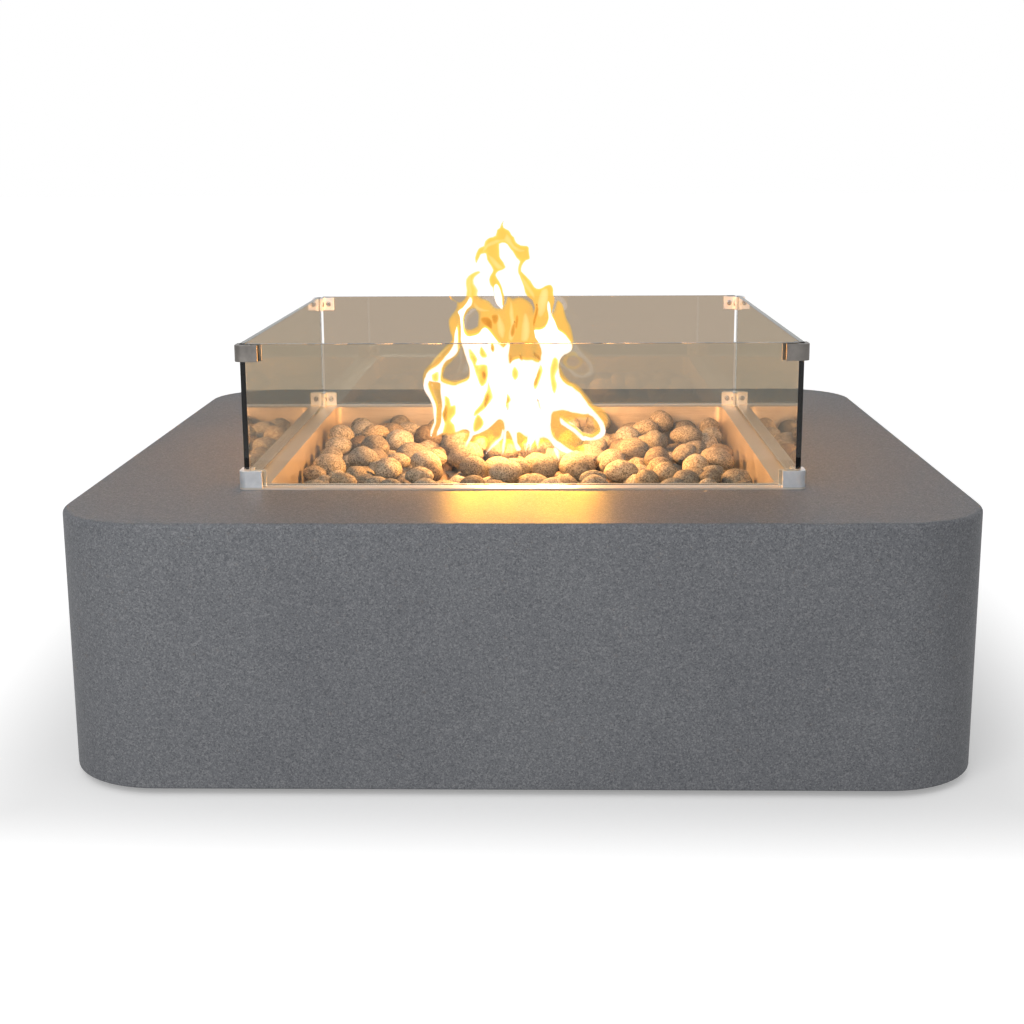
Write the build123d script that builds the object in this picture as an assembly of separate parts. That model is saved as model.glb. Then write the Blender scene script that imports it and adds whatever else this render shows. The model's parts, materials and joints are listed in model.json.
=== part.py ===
from build123d import *
import math
import os
import numpy as np

# A low square gas fire table: a cast concrete body on four levelling feet, a drop-in steel
# burner pan full of lava pebbles, an H burner with its gas train underneath, and a
# lift-off wind guard of four glass panes held by corner clips.
# Millimetres. The origin is the middle of the footprint on the floor, +Z is up and the
# control recess is in the back wall, at +Y.

# ---------------------------------------------------------------- driving dimensions
# Cast body
body_side = 1067.0
body_height = 311.0
body_corner = 115.0
body_wall = 22.0
deck_thickness = 25.0
foot_gap = 9.0
top_edge_round = 5.5
bottom_edge_round = 2.5
casting_round = 10.0
rim_width = 26.0
rim_drop = 18.0
rib_width = 14.0
rib_offset = 190.0

# Burner pan
pan_side = 622.0
pan_depth = 76.0
pan_corner = 12.0
pan_fold = 3.0
pan_sheet = 1.5
pan_clearance = 3.0
flange_corner = 8.0
drain_hole = 4.0
drain_place = 0.4

# Glass wind guard
guard_side = 688.0
glass_thickness = 6.35
glass_rise = 177.0
glass_arris = 0.5
clip_wall = 5.0
clip_plate = 4.0
clip_length = 28.5
clip_plate_extra = 3.5
clip_height = 20.0
clip_corner = 9.0
clip_floor = 2.0
clip_overlap = 14.5
screw_from_end = 5.0
clip_column = 6.8
clip_pad = 1.0
slot_clearance = 0.3
top_clip_drop = 1.2
guard_screw = 2.8
guard_screw_head = 4.2
guard_screw_dome = 1.6
guard_screw_slope = 35.0

# H burner
burner_half = 118.0
burner_tube = 9.5
crossbar_tube = 8.5
burner_height = 22.0
ports_per_bar = 5
port_radius = 1.6
port_depth = 4.0
hub_radius = 18.0
hub_height = 26.0

# Pipe, mixer and orifice
pipe_radius = 10.65
pipe_bore = 7.9
pipe_length = 56.0
pipe_grip = 12.0
locknut_flats = 32.0
locknut_height = 7.0
mixer_length = 66.0
mixer_socket = 15.5
mixer_throat = 11.0
mixer_bell = 19.0
mixer_wall = 3.0
window_width = 15.0
window_height = 18.0
shutter_wall = 1.5
shutter_height = 26.0
orifice_flats = 16.0
orifice_hex = 8.0
orifice_radius = 6.0
orifice_bore = 1.0
orifice_tip = 8.0
shutter_tab = 12.0
elbow_radius = 9.0
elbow_reach = 20.0
elbow_drop = 18.0

# Control recess in the back wall
recess_width = 150.0
recess_height = 84.0
recess_depth = 30.0
recess_corner = 10.0
recess_flange = 15.0
recess_sheet = 1.5
recess_z = 165.0
rebate_depth = 4.0
rebate_clearance = 1.0
control_spacing = 76.0

# Gas valve and knob
valve_width = 34.0
valve_depth = 36.0
valve_height = 42.0
valve_round = 5.0
valve_stub = 8.0
valve_neck = 11.0
valve_bore = 9.0
valve_lip = 2.0
neck_reach = 4.5
bezel_radius = 24.0
bezel_thickness = 1.0
bezel_marks = 3
panel_nut = 3.0
panel_nut_flats = 27.0
stem_radius = 4.0
stem_tip = 3.0
stem_collar = 2.0
stem_flat = 0.8
cup_length = 6.0
cup_wall = 1.6
knob_radius = 20.0
knob_length = 18.0
knob_taper = 1.5
knob_edge = 1.5
knob_flutes = 8
flute_radius = 4.0
flute_start = 4.0
pointer_width = 2.4
pointer_rise = 0.8
knob_web = 6.0
push_travel = 4.0
push_rest = 1.0
tick_radius = 1.2
tick_rise = 0.6

# Igniter
igniter_radius = 11.0
igniter_neck = 9.0
button_radius = 7.0
button_length = 14.0
button_proud = 7.0
battery_radius = 5.25
button_edge = 1.5
battery_length = 43.5
battery_tip = 1.0
igniter_end = 3.0
igniter_nut_flats = 24.0

# Flame sensing and spark
sensor_y = 180.0
sensor_spacing = 28.0
sensor_rise = 30.0
sensor_tail = 12.0
probe_radius = 2.5
insulator_radius = 3.5
electrode_radius = 1.2
electrode_lean = 14.0
electrode_rise = 6.0
insulator_share = 0.7
bracket_fold = 0.6
bracket_width = 60.0
bracket_depth = 22.0
bracket_corner = 3.0
insulator_end = 3.0
lead_radius = 1.6
lead_bend = 25.0
lead_sag = 10.0
lead_run = 60.0
tap_length = 5.0

# Gas inlet and lines
inlet_x = 150.0
inlet_z = 80.0
inlet_radius = 8.0
inlet_thread = 9.0
inlet_arm = 6.5
inlet_bore = 4.5
inlet_reach = 18.0
inlet_hex = 8.0
inlet_flats = 24.0
inlet_nut = 3.0
inlet_edge = 1.5
inlet_pocket = 16.0
inlet_pocket_depth = 14.0
line_radius = 5.0
main_line_radius = 6.0
line_bend = 40.0
line_straight = 80.0
flare_nut_length = 12.0

# Vents
vent_width = 160.0
vent_height = 70.0
vent_z = 165.0
vent_sheet = 1.5
vent_border = 14.0
vent_corner = 7.0
vent_slots = 5
vent_slot_width = 6.0

# Levelling feet
foot_inset = 93.5
pad_radius = 25.0
pad_height = 9.0
pad_socket = 5.0
pad_edge = 2.0
stud_radius = 5.0
stud_flats = 17.0
stud_neck = 5.0
stud_hex = 8.0
stud_shank = 36.0
insert_flange_radius = 15.0
insert_flange = 3.0
insert_radius = 8.0
insert_length = 24.0
gusset_height = 32.0
gusset_margin = 22.0

# Screws of the recess and the vents
screw_radius = 2.0
screw_head = 4.0
screw_head_height = 2.0
screw_length = 12.0

# Lava pebbles
stone_smallest = 18.0
stone_largest = 31.0
stone_corners = 20
stone_gap = 0.25
stone_wall_gap = 1.2
stone_seed = 11
stone_tries = 110
stone_misses = 30
search_directions = 420
seat_directions = 6000
fill_below_deck = 22.0
fill_rise = 24.0
fill_mound = 13.0
mound_spread = 150.0

# Clearances
running_fit = 0.05
sliding_fit = 0.1
hole_fit = 0.2
cut_over = 1.0

# ---------------------------------------------------------------- derived places
body_bottom = foot_gap
deck_top = body_bottom + body_height
deck_under = deck_top - deck_thickness
cavity_side = body_side - 2 * body_wall
cavity_corner = body_corner - body_wall
pan_outer = pan_side + 2 * pan_sheet
flange_top = deck_top + pan_sheet
pan_floor = flange_top - pan_depth
pan_under = pan_floor - pan_sheet
guard_half = guard_side / 2
guard_base = flange_top + clip_pad
glass_bottom = guard_base + clip_floor
glass_top = deck_top + glass_rise
glass_outer = guard_half - clip_wall
pane_half = guard_half - clip_length + clip_overlap
slot_width = glass_thickness + slot_clearance
clip_arm = clip_wall + slot_width + clip_plate
burner_z = pan_floor + burner_height
hub_bottom = burner_z - hub_height / 2
pipe_top = hub_bottom + pipe_grip
pipe_bottom = pipe_top - pipe_length
mixer_top = pipe_bottom + pipe_grip
mixer_bottom = mixer_top - mixer_length
wall_out = body_side / 2
wall_in = wall_out - body_wall
recess_face = wall_out - recess_depth
recess_back = recess_face - recess_sheet
knob_x = -control_spacing / 2
igniter_x = control_spacing / 2
neck_end = recess_face + neck_reach
knob_base = neck_end + push_travel + push_rest
foot_place = wall_out - foot_inset
stud_bottom = pad_height - pad_socket
hex_bottom = stud_bottom + pad_socket + stud_neck
hex_top = hex_bottom + stud_hex
gusset_bottom = hex_top + insert_flange
corner_signs = [(-1, -1), (1, -1), (1, 1), (-1, 1)]
corner_names = ["front_left", "front_right", "back_right", "back_left"]


# ---------------------------------------------------------------- helpers
def prism(outline, bottom, height):
    """An outline in plan, raised from a level."""
    return extrude(Pos(0, 0, bottom) * outline, amount=height)


def rod(start, direction, length, radius):
    """A round bar from a point along a direction."""
    return extrude(Plane(origin=start, z_dir=direction) * Circle(radius), amount=length)


def hexagon(start, direction, length, flats):
    """A hexagonal bar, by its size across flats."""
    outline = RegularPolygon(flats / 2, 6, major_radius=False)
    return extrude(Plane(origin=start, z_dir=direction) * outline, amount=length)


def block(low, high):
    """A rectangular block between two corners."""
    size = [high[i] - low[i] for i in range(3)]
    middle = [(high[i] + low[i]) / 2 for i in range(3)]
    return Pos(*middle) * Box(*size)


def pipe_run(points, radius, bend):
    """A bent tube: straight runs joined by tangent arcs."""
    path = FilletPolyline(*points, radius=bend)
    return sweep(Plane(origin=path @ 0, z_dir=path % 0) * Circle(radius), path=path)


def edges_at(solid, level):
    """The edges of a solid that lie in one horizontal level."""
    return solid.edges().filter_by_position(Axis.Z, level, level)


def write(name, *pieces):
    """One STEP file for one node, of one solid or a group of separate solids."""
    solids = [solid for piece in pieces for solid in piece.solids()]
    export_step(Compound(solids), f"parts/{name}.step")


# ---------------------------------------------------------------- cast body
def rounded_square(side, corner):
    return RectangleRounded(side, side, corner)


def body_shell():
    solid = prism(rounded_square(body_side, body_corner), body_bottom, body_height)
    solid = fillet(edges_at(solid, deck_top), top_edge_round)
    solid = fillet(edges_at(solid, body_bottom), bottom_edge_round)
    cavity_outline = rounded_square(cavity_side, cavity_corner)
    cavity = prism(cavity_outline, body_bottom - cut_over, deck_under - body_bottom + cut_over)
    cavity = fillet(edges_at(cavity, deck_under), casting_round)
    solid -= cavity
    cut_out_side = pan_outer + 2 * pan_clearance
    cut_out_corner = pan_corner + pan_sheet + pan_clearance
    rim_side = cut_out_side + 2 * rim_width
    rim_corner = cut_out_corner + rim_width
    solid += prism(rounded_square(rim_side, rim_corner), deck_under - rim_drop, rim_drop + cut_over)
    for turn in range(4):
        for side in (-rib_offset, rib_offset):
            rib = block(
                (side - rib_width / 2, rim_side / 2 - cut_over, deck_under - rim_drop),
                (side + rib_width / 2, wall_in + cut_over, deck_under + cut_over),
            )
            solid += Rot(0, 0, 90 * turn) * rib
    cut_out = rounded_square(cut_out_side, cut_out_corner)
    solid -= prism(cut_out, deck_under - rim_drop - cut_over, deck_top)
    solid += gussets()
    solid -= recess_opening()
    for side in (-1, 1):
        solid -= vent_opening(side)
    solid -= inlet_opening()
    for x, y in foot_centres():
        start = (x, y, gusset_bottom - cut_over)
        solid -= rod(start, (0, 0, 1), insert_length + cut_over, insert_radius)
        solid -= rod(start, (0, 0, 1), gusset_height + 2 * cut_over, stud_radius + rebate_clearance)
    return solid


def foot_centres():
    return [(sx * foot_place, sy * foot_place) for sx, sy in corner_signs]


def gussets():
    """Cast corner blocks that carry the threaded inserts of the feet."""
    reach = 2 * foot_place - (insert_flange_radius + gusset_margin) * math.sqrt(2)
    corner = rounded_square(cavity_side + 2 * cut_over, cavity_corner + cut_over)
    diamond = Rot(0, 0, 45) * Rectangle(reach * math.sqrt(2), reach * math.sqrt(2))
    return prism(corner - diamond, gusset_bottom, gusset_height)


# ---------------------------------------------------------------- control recess
def recess_outline(margin, depth=0):
    """The recess outline grown by a margin, on a plane at a depth behind the wall face."""
    plane = Plane(origin=(0, wall_out - depth, recess_z), x_dir=(-1, 0, 0), z_dir=(0, 1, 0))
    size = (recess_width + 2 * margin, recess_height + 2 * margin)
    return plane * RectangleRounded(*size, recess_corner + margin)


def recess_opening():
    hole = recess_outline(recess_sheet + pan_clearance / 2)
    rebate = recess_outline(recess_flange + rebate_clearance)
    cut = extrude(hole, amount=-body_wall - cut_over) + extrude(rebate, amount=-rebate_depth)
    for x, z in recess_screw_places():
        depth = rebate_depth + screw_length
        cut += rod((x, wall_out, z), (0, -1, 0), depth, screw_radius + running_fit)
    return cut


def recess_screw_places():
    along = recess_width / 2 + recess_flange / 2
    up = recess_height / 2 - recess_corner
    return [(sx * along, recess_z + sy * up) for sx, sy in corner_signs]


def control_recess():
    """A folded sheet box with a flange, let into the back wall for the knob and the igniter."""
    box_depth = recess_depth + recess_sheet - rebate_depth
    solid = extrude(recess_outline(recess_flange, rebate_depth), amount=recess_sheet)
    solid += extrude(recess_outline(recess_sheet, rebate_depth), amount=-box_depth)
    solid -= extrude(recess_outline(0, recess_depth), amount=recess_depth)
    through = 2 * recess_sheet
    for x, radius in ((knob_x, valve_neck), (igniter_x, igniter_neck)):
        start = (x, recess_back - recess_sheet / 2, recess_z)
        solid -= rod(start, (0, 1, 0), through, radius + hole_fit)
    for x, z in recess_screw_places():
        start = (x, wall_out - rebate_depth - recess_sheet / 2, z)
        solid -= rod(start, (0, 1, 0), through, screw_radius + hole_fit)
    return solid


def cap_screw(seat, outward):
    """A pan head screw whose head bears on a seat and whose shank runs into the wall."""
    inward = tuple(-component for component in outward)
    head = rod(seat, outward, screw_head_height, screw_head)
    return head + rod(seat, inward, screw_length, screw_radius)


def recess_screws():
    seat = wall_out - rebate_depth + recess_sheet
    return [cap_screw((x, seat, z), (0, 1, 0)) for x, z in recess_screw_places()]


# ---------------------------------------------------------------- vents
def side_plane(side, depth, height=0):
    """A plane across a side wall, at a depth behind its outer face."""
    origin = (side * (wall_out - depth), 0, vent_z + height)
    return Plane(origin=origin, x_dir=(0, side, 0), z_dir=(side, 0, 0))


def vent_outline(margin):
    size = (vent_width + 2 * margin, vent_height + 2 * margin)
    return RectangleRounded(*size, vent_corner + max(margin, 0))


def vent_opening(side):
    wall_face = side_plane(side, 0)
    cut = extrude(wall_face * vent_outline(-vent_border), amount=-body_wall - cut_over)
    cut += extrude(wall_face * vent_outline(rebate_clearance), amount=-rebate_depth)
    for y in vent_screw_places():
        start = (side * wall_out, y, vent_z)
        cut += rod(start, (-side, 0, 0), rebate_depth + screw_length, screw_radius + running_fit)
    return cut


def vent_screw_places():
    place = (vent_width - vent_border) / 2
    return [-place, place]


def vent_plate(side):
    """A slotted sheet cover over an opening in a side wall."""
    solid = extrude(side_plane(side, rebate_depth) * vent_outline(0), amount=vent_sheet)
    slot_length = vent_width - 2 * vent_border - vent_slot_width
    pitch = (vent_height - 2 * vent_border) / vent_slots
    behind = rebate_depth + vent_sheet / 2
    for row in range(vent_slots):
        height = (row - (vent_slots - 1) / 2) * pitch
        slot = side_plane(side, behind, height) * SlotOverall(slot_length, vent_slot_width)
        solid -= extrude(slot, amount=2 * vent_sheet)
    for y in vent_screw_places():
        start = (side * (wall_out - behind), y, vent_z)
        solid -= rod(start, (side, 0, 0), 2 * vent_sheet, screw_radius + hole_fit)
    return solid


def vent_screws():
    seat = wall_out - rebate_depth + vent_sheet
    screws = []
    for side in (-1, 1):
        screws += [cap_screw((side * seat, y, vent_z), (side, 0, 0)) for y in vent_screw_places()]
    return screws


# ---------------------------------------------------------------- burner pan
def burner_pan():
    outline = rounded_square(pan_outer, pan_corner + pan_sheet)
    outer = prism(outline, pan_under, flange_top - pan_under)
    outer = fillet(edges_at(outer, pan_under), pan_fold + pan_sheet)
    inner = prism(rounded_square(pan_side, pan_corner), pan_floor, pan_depth + cut_over)
    inner = fillet(edges_at(inner, pan_floor), pan_fold)
    solid = outer + prism(rounded_square(guard_side, flange_corner), deck_top, pan_sheet)
    solid -= inner
    below, through = pan_under - cut_over, pan_sheet + 2 * cut_over
    solid -= rod((0, 0, below), (0, 0, 1), through, pipe_radius + hole_fit)
    slot_size = 3 * insulator_radius
    slot = Pos(0, sensor_y) * SlotOverall(sensor_spacing + slot_size, slot_size)
    solid -= prism(slot, below, through)
    drain = drain_place * pan_side
    for sx, sy in corner_signs:
        solid -= rod((sx * drain, sy * drain, below), (0, 0, 1), through, drain_hole)
    return solid


# ---------------------------------------------------------------- H burner
def burner():
    """Two drilled side tubes joined by a crossbar, with a threaded hub at the middle."""
    solid = rod((-burner_half, 0, burner_z), (1, 0, 0), 2 * burner_half, crossbar_tube)
    for x in (-burner_half, burner_half):
        solid += rod((x, -burner_half, burner_z), (0, 1, 0), 2 * burner_half, burner_tube)
    solid += rod((0, 0, hub_bottom), (0, 0, 1), hub_height, hub_radius)
    below = (0, 0, hub_bottom - cut_over)
    solid -= rod(below, (0, 0, 1), pipe_grip + cut_over, pipe_radius + running_fit)
    for place in port_places():
        solid -= rod(place, (0, 0, 1), port_depth + cut_over, port_radius)
    return solid


def port_places():
    """A row of drilled ports on top of each side tube."""
    level = burner_z + burner_tube - port_depth
    pitch = 2 * burner_half / (ports_per_bar + 1)
    rows = [burner_half - pitch * (port + 1) for port in range(ports_per_bar)]
    return [(x, y, level) for x in (-burner_half, burner_half) for y in rows]


def burner_pipe():
    solid = rod((0, 0, pipe_bottom), (0, 0, 1), pipe_length, pipe_radius)
    return solid - rod((0, 0, pipe_bottom - cut_over), (0, 0, 1), pipe_length + 2 * cut_over, pipe_bore)


def ring_nut(start, direction, height, flats, bore):
    """A plain hexagon nut with a round bore."""
    behind = tuple(start[i] - cut_over * direction[i] for i in range(3))
    nut = hexagon(start, direction, height, flats)
    return nut - rod(behind, direction, height + 2 * cut_over, bore)


def pan_locknuts():
    """One nut on each side of the pan floor, clamping it on the burner pipe."""
    levels = (pan_floor, pan_under - locknut_height)
    bore = pipe_radius + sliding_fit
    return [ring_nut((0, 0, level), (0, 0, 1), locknut_height, locknut_flats, bore) for level in levels]


# ---------------------------------------------------------------- mixer, orifice, elbow
def air_mixer():
    """A cast venturi: socket above, throat, and a bell with two air windows below."""
    bell_height = shutter_height + mixer_wall
    bell_top = mixer_bottom + bell_height
    outline = Polyline(
        (0, mixer_bottom),
        (mixer_bell, mixer_bottom),
        (mixer_bell, bell_top),
        (mixer_throat + mixer_wall, bell_top + mixer_bell - mixer_throat),
        (mixer_throat + mixer_wall, mixer_top - pipe_grip - mixer_wall),
        (mixer_socket, mixer_top - pipe_grip),
        (mixer_socket, mixer_top),
        (0, mixer_top),
        close=True,
    )
    solid = revolve(Plane.XZ * make_face(outline), axis=Axis.Z)
    floor = mixer_bottom + mixer_wall
    socket = (0, 0, mixer_top - pipe_grip)
    solid -= rod(socket, (0, 0, 1), pipe_grip + cut_over, pipe_radius + running_fit)
    solid -= rod((0, 0, floor), (0, 0, 1), mixer_length, pipe_bore)
    solid -= rod((0, 0, floor), (0, 0, 1), shutter_height - mixer_wall, mixer_bell - mixer_wall)
    below = (0, 0, mixer_bottom - cut_over)
    solid -= rod(below, (0, 0, 1), mixer_wall + 2 * cut_over, orifice_radius + running_fit)
    return solid - air_windows(mixer_bell)


def air_windows(reach):
    """Two opposite windows, cut right across out to a little past a radius."""
    middle = mixer_bottom + (shutter_height + mixer_wall) / 2
    low, high = middle - window_height / 2, middle + window_height / 2
    past = reach + mixer_wall
    return block((-past, -window_width / 2, low), (past, window_width / 2, high))


def air_shutter():
    """A sleeve with matching windows and a finger tab, turned to open or close them."""
    level = mixer_bottom + mixer_wall / 2
    inner = mixer_bell + running_fit
    solid = rod((0, 0, level), (0, 0, 1), shutter_height, inner + shutter_wall)
    tab_reach = inner + shutter_wall + shutter_tab
    tab_low = (-shutter_wall, -tab_reach, level + shutter_wall)
    tab_high = (shutter_wall, -inner, level + shutter_height - shutter_wall)
    solid += block(tab_low, tab_high)
    solid -= rod((0, 0, level - cut_over), (0, 0, 1), shutter_height + 2 * cut_over, inner)
    return solid - air_windows(inner)


def gas_orifice():
    """A brass spud: hexagon below the mixer floor, drilled tip inside the bell."""
    start = mixer_bottom - orifice_hex
    length = orifice_hex + mixer_wall + orifice_tip
    solid = hexagon((0, 0, start), (0, 0, 1), orifice_hex, orifice_flats)
    solid += rod((0, 0, start), (0, 0, 1), length, orifice_radius)
    return solid - rod((0, 0, start - cut_over), (0, 0, 1), length + 2 * cut_over, orifice_bore)


def orifice_elbow():
    top = mixer_bottom - orifice_hex
    turn_z = top - elbow_drop
    solid = rod((0, 0, turn_z - elbow_radius), (0, 0, 1), elbow_drop + elbow_radius, elbow_radius)
    return solid + rod((0, 0, turn_z), (0, 1, 0), elbow_reach, elbow_radius)


# ---------------------------------------------------------------- gas valve and knob
valve_rear = recess_back - valve_depth
valve_under = recess_z - valve_height / 2
valve_mid_y = recess_back - valve_depth / 2
tap_x = knob_x - valve_width / 2


def gas_valve():
    """A cast valve: bored body, threaded neck, ports behind and below, sensor tap at the side."""
    half_width = valve_width / 2
    solid = block(
        (knob_x - half_width, valve_rear, valve_under),
        (knob_x + half_width, recess_back, recess_z + valve_height / 2),
    )
    solid = fillet(solid.edges().filter_by(Axis.Y), valve_round)
    solid += rod((knob_x, recess_back, recess_z), (0, 1, 0), neck_end - recess_back, valve_neck)
    solid += rod((knob_x, valve_rear, recess_z), (0, -1, 0), valve_stub, elbow_radius)
    solid += rod((knob_x, valve_mid_y, valve_under), (0, 0, -1), valve_stub, elbow_radius)
    solid += rod((tap_x, valve_mid_y, recess_z), (-1, 0, 0), tap_length, orifice_radius)
    bore_start = valve_rear + valve_stub
    bore_end = neck_end - valve_lip
    solid -= rod((knob_x, bore_start, recess_z), (0, 1, 0), bore_end - bore_start, valve_bore)
    lip = (knob_x, bore_end - cut_over, recess_z)
    return solid - rod(lip, (0, 1, 0), valve_lip + 2 * cut_over, stem_radius + hole_fit)


def panel_nut_on(x, face, neck, flats):
    return ring_nut((x, face, recess_z), (0, 1, 0), panel_nut, flats, neck + running_fit)


def knob_bezel():
    """A round plate under the nut, with raised plain position ticks."""
    solid = rod((knob_x, recess_face, recess_z), (0, 1, 0), bezel_thickness, bezel_radius)
    ring = bezel_radius - 1.5 * tick_radius
    for mark in range(bezel_marks):
        angle = math.pi / 2 * mark / (bezel_marks - 1)
        place = (knob_x + ring * math.sin(angle), recess_face, recess_z + ring * math.cos(angle))
        solid += rod(place, (0, 1, 0), bezel_thickness + tick_rise, tick_radius)
    behind = (knob_x, recess_face - cut_over, recess_z)
    return solid - rod(behind, (0, 1, 0), bezel_thickness + 2 * cut_over, valve_neck + hole_fit)


cup_face = recess_back - valve_depth / 3
cup_start = cup_face - cup_length


def stem_cup():
    """The sliding cup that the stem pushes in against the valve spring."""
    radius = valve_bore - sliding_fit
    solid = rod((knob_x, cup_start, recess_z), (0, 1, 0), cup_length, radius)
    hollow = (knob_x, cup_start - cut_over, recess_z)
    solid -= rod(hollow, (0, 1, 0), cup_length + cut_over - cup_wall, radius - cup_wall)
    return solid - rod(hollow, (0, 1, 0), cup_length + 2 * cut_over, stem_radius + running_fit)


def valve_stem():
    """Round stem with a collar behind the cup floor and a flatted tip for the knob."""
    start = cup_start + cut_over
    tip_end = knob_base + knob_length - knob_web - hole_fit
    solid = rod((knob_x, start, recess_z), (0, 1, 0), neck_end + push_rest - start, stem_radius)
    collar = stem_radius + stem_collar
    solid += rod((knob_x, start, recess_z), (0, 1, 0), cup_face - cup_wall - start, collar)
    tip = rod((knob_x, neck_end, recess_z), (0, 1, 0), tip_end - neck_end, stem_tip)
    tip -= flat_cut(neck_end + push_rest, tip_end + cut_over, stem_tip - stem_flat)
    return solid + tip


def flat_cut(start, end, level):
    """The block that leaves a flat on the stem tip at a level above its axis."""
    reach = 2 * stem_tip
    return block((knob_x - reach, start, recess_z + level), (knob_x + reach, end, recess_z + reach))


def gas_knob():
    """A tapered, fluted knob with a pointer rib, pushed onto the flatted stem."""
    face = knob_base + knob_length
    tip_radius = knob_radius - knob_taper
    outline = Polyline(
        (0, 0),
        (knob_radius, 0),
        (tip_radius, knob_length - knob_edge),
        (tip_radius - knob_edge, knob_length),
        (0, knob_length),
        close=True,
    )
    section = Plane(origin=(knob_x, knob_base, recess_z), z_dir=(0, 0, 1))
    solid = revolve(section * make_face(outline), axis=Axis((knob_x, knob_base, recess_z), (0, 1, 0)))
    for flute in range(knob_flutes):
        angle = 2 * math.pi * (flute + 0.5) / knob_flutes
        reach = knob_radius + flute_radius / 2
        across, up = reach * math.sin(angle), reach * math.cos(angle)
        centre = (knob_x + across, knob_base + flute_start, recess_z + up)
        solid -= rod(centre, (0, 1, 0), knob_length, flute_radius)
    solid += block(
        (knob_x - pointer_width / 2, face - pointer_rise, recess_z + pointer_width),
        (knob_x + pointer_width / 2, face + pointer_rise, recess_z + tip_radius - pointer_width),
    )
    bore_start, bore_end = knob_base - cut_over, face - knob_web
    radius = stem_tip + running_fit
    bore = rod((knob_x, bore_start, recess_z), (0, 1, 0), bore_end - bore_start, radius)
    bore -= flat_cut(bore_start - cut_over, bore_end + cut_over, radius - stem_flat)
    return solid - bore


# ---------------------------------------------------------------- igniter
button_end = neck_end + button_proud
igniter_seat = button_end - button_length - push_travel - push_rest
battery_start = igniter_seat - battery_length - 2 * battery_tip
igniter_rear = battery_start - igniter_end


def igniter_housing():
    """A closed tube with a threaded neck: battery behind, button in front."""
    length = recess_back - igniter_rear
    solid = rod((igniter_x, igniter_rear, recess_z), (0, 1, 0), length, igniter_radius)
    solid += rod((igniter_x, recess_back, recess_z), (0, 1, 0), neck_end - recess_back, igniter_neck)
    seat = (igniter_x, igniter_seat, recess_z)
    solid -= rod(seat, (0, 1, 0), button_length + push_travel, button_radius + sliding_fit)
    start = (igniter_x, battery_start, recess_z)
    depth = igniter_seat - battery_start + cut_over
    return solid - rod(start, (0, 1, 0), depth, battery_radius + sliding_fit)


def igniter_button():
    start = (igniter_x, button_end - button_length, recess_z)
    solid = rod(start, (0, 1, 0), button_length, button_radius)
    return fillet(solid.edges().filter_by_position(Axis.Y, button_end, button_end), button_edge)


def igniter_battery():
    """A small round cell with its raised contact."""
    start = (igniter_x, battery_start, recess_z)
    solid = rod(start, (0, 1, 0), battery_length, battery_radius)
    return solid + rod(start, (0, 1, 0), battery_length + battery_tip, 2 * battery_tip)


# ---------------------------------------------------------------- flame sensing and spark
probe_x = -sensor_spacing / 2
spark_x = sensor_spacing / 2
sensor_bottom = pan_under - sensor_tail


sensor_top = pan_floor + sensor_rise


def sensor_bracket():
    """A folded plate over the slot in the pan floor, holding the probe and the electrode."""
    plate = Pos(0, sensor_y) * RectangleRounded(bracket_width, bracket_depth, bracket_corner)
    solid = prism(plate, pan_floor, pan_sheet)
    edge = sensor_y + bracket_depth / 2
    half = bracket_width / 2 - bracket_corner
    fold_top = pan_floor + sensor_rise * bracket_fold
    solid += block((-half, edge - pan_sheet, pan_floor), (half, edge, fold_top))
    for x, radius in ((probe_x, probe_radius), (spark_x, insulator_radius)):
        start = (x, sensor_y, pan_floor - cut_over)
        solid -= rod(start, (0, 0, 1), pan_sheet + 2 * cut_over, radius + running_fit)
    return solid


def thermocouple():
    start = (probe_x, sensor_y, sensor_bottom)
    return rod(start, (0, 0, 1), sensor_top - sensor_bottom, probe_radius)


def electrode_insulator():
    height = pan_floor + sensor_rise * insulator_share - sensor_bottom
    solid = rod((spark_x, sensor_y, sensor_bottom), (0, 0, 1), height, insulator_radius)
    bore = (spark_x, sensor_y, sensor_bottom + insulator_end)
    return solid - rod(bore, (0, 0, 1), height, electrode_radius + running_fit)


def spark_electrode():
    """A stiff wire out of the ceramic, leaning over to the burner."""
    points = [
        (spark_x, sensor_y, sensor_bottom + insulator_end),
        (spark_x, sensor_y, sensor_top),
        (spark_x, sensor_y - electrode_lean, sensor_top + electrode_rise),
    ]
    return pipe_run(points, electrode_radius, insulator_radius)


def thermocouple_lead():
    end = (tap_x - tap_length, valve_mid_y, recess_z)
    points = [
        (probe_x, sensor_y, sensor_bottom),
        (probe_x, sensor_y, recess_z + lead_sag),
        (end[0] - lead_run, end[1], end[2]),
        end,
    ]
    return pipe_run(points, lead_radius, lead_bend)


def igniter_lead():
    end = (igniter_x, igniter_rear, recess_z)
    points = [
        (spark_x, sensor_y, sensor_bottom),
        (spark_x, sensor_y, recess_z + lead_sag),
        (end[0], end[1] - lead_run, end[2]),
        end,
    ]
    return pipe_run(points, lead_radius, lead_bend)


# ---------------------------------------------------------------- gas inlet and lines
pocket_floor = wall_out - inlet_pocket_depth


def inlet_opening():
    face = (inlet_x, wall_out, inlet_z)
    cut = rod(face, (0, -1, 0), body_wall + cut_over, inlet_thread + hole_fit)
    return cut + rod(face, (0, -1, 0), inlet_pocket_depth, inlet_pocket)


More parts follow.
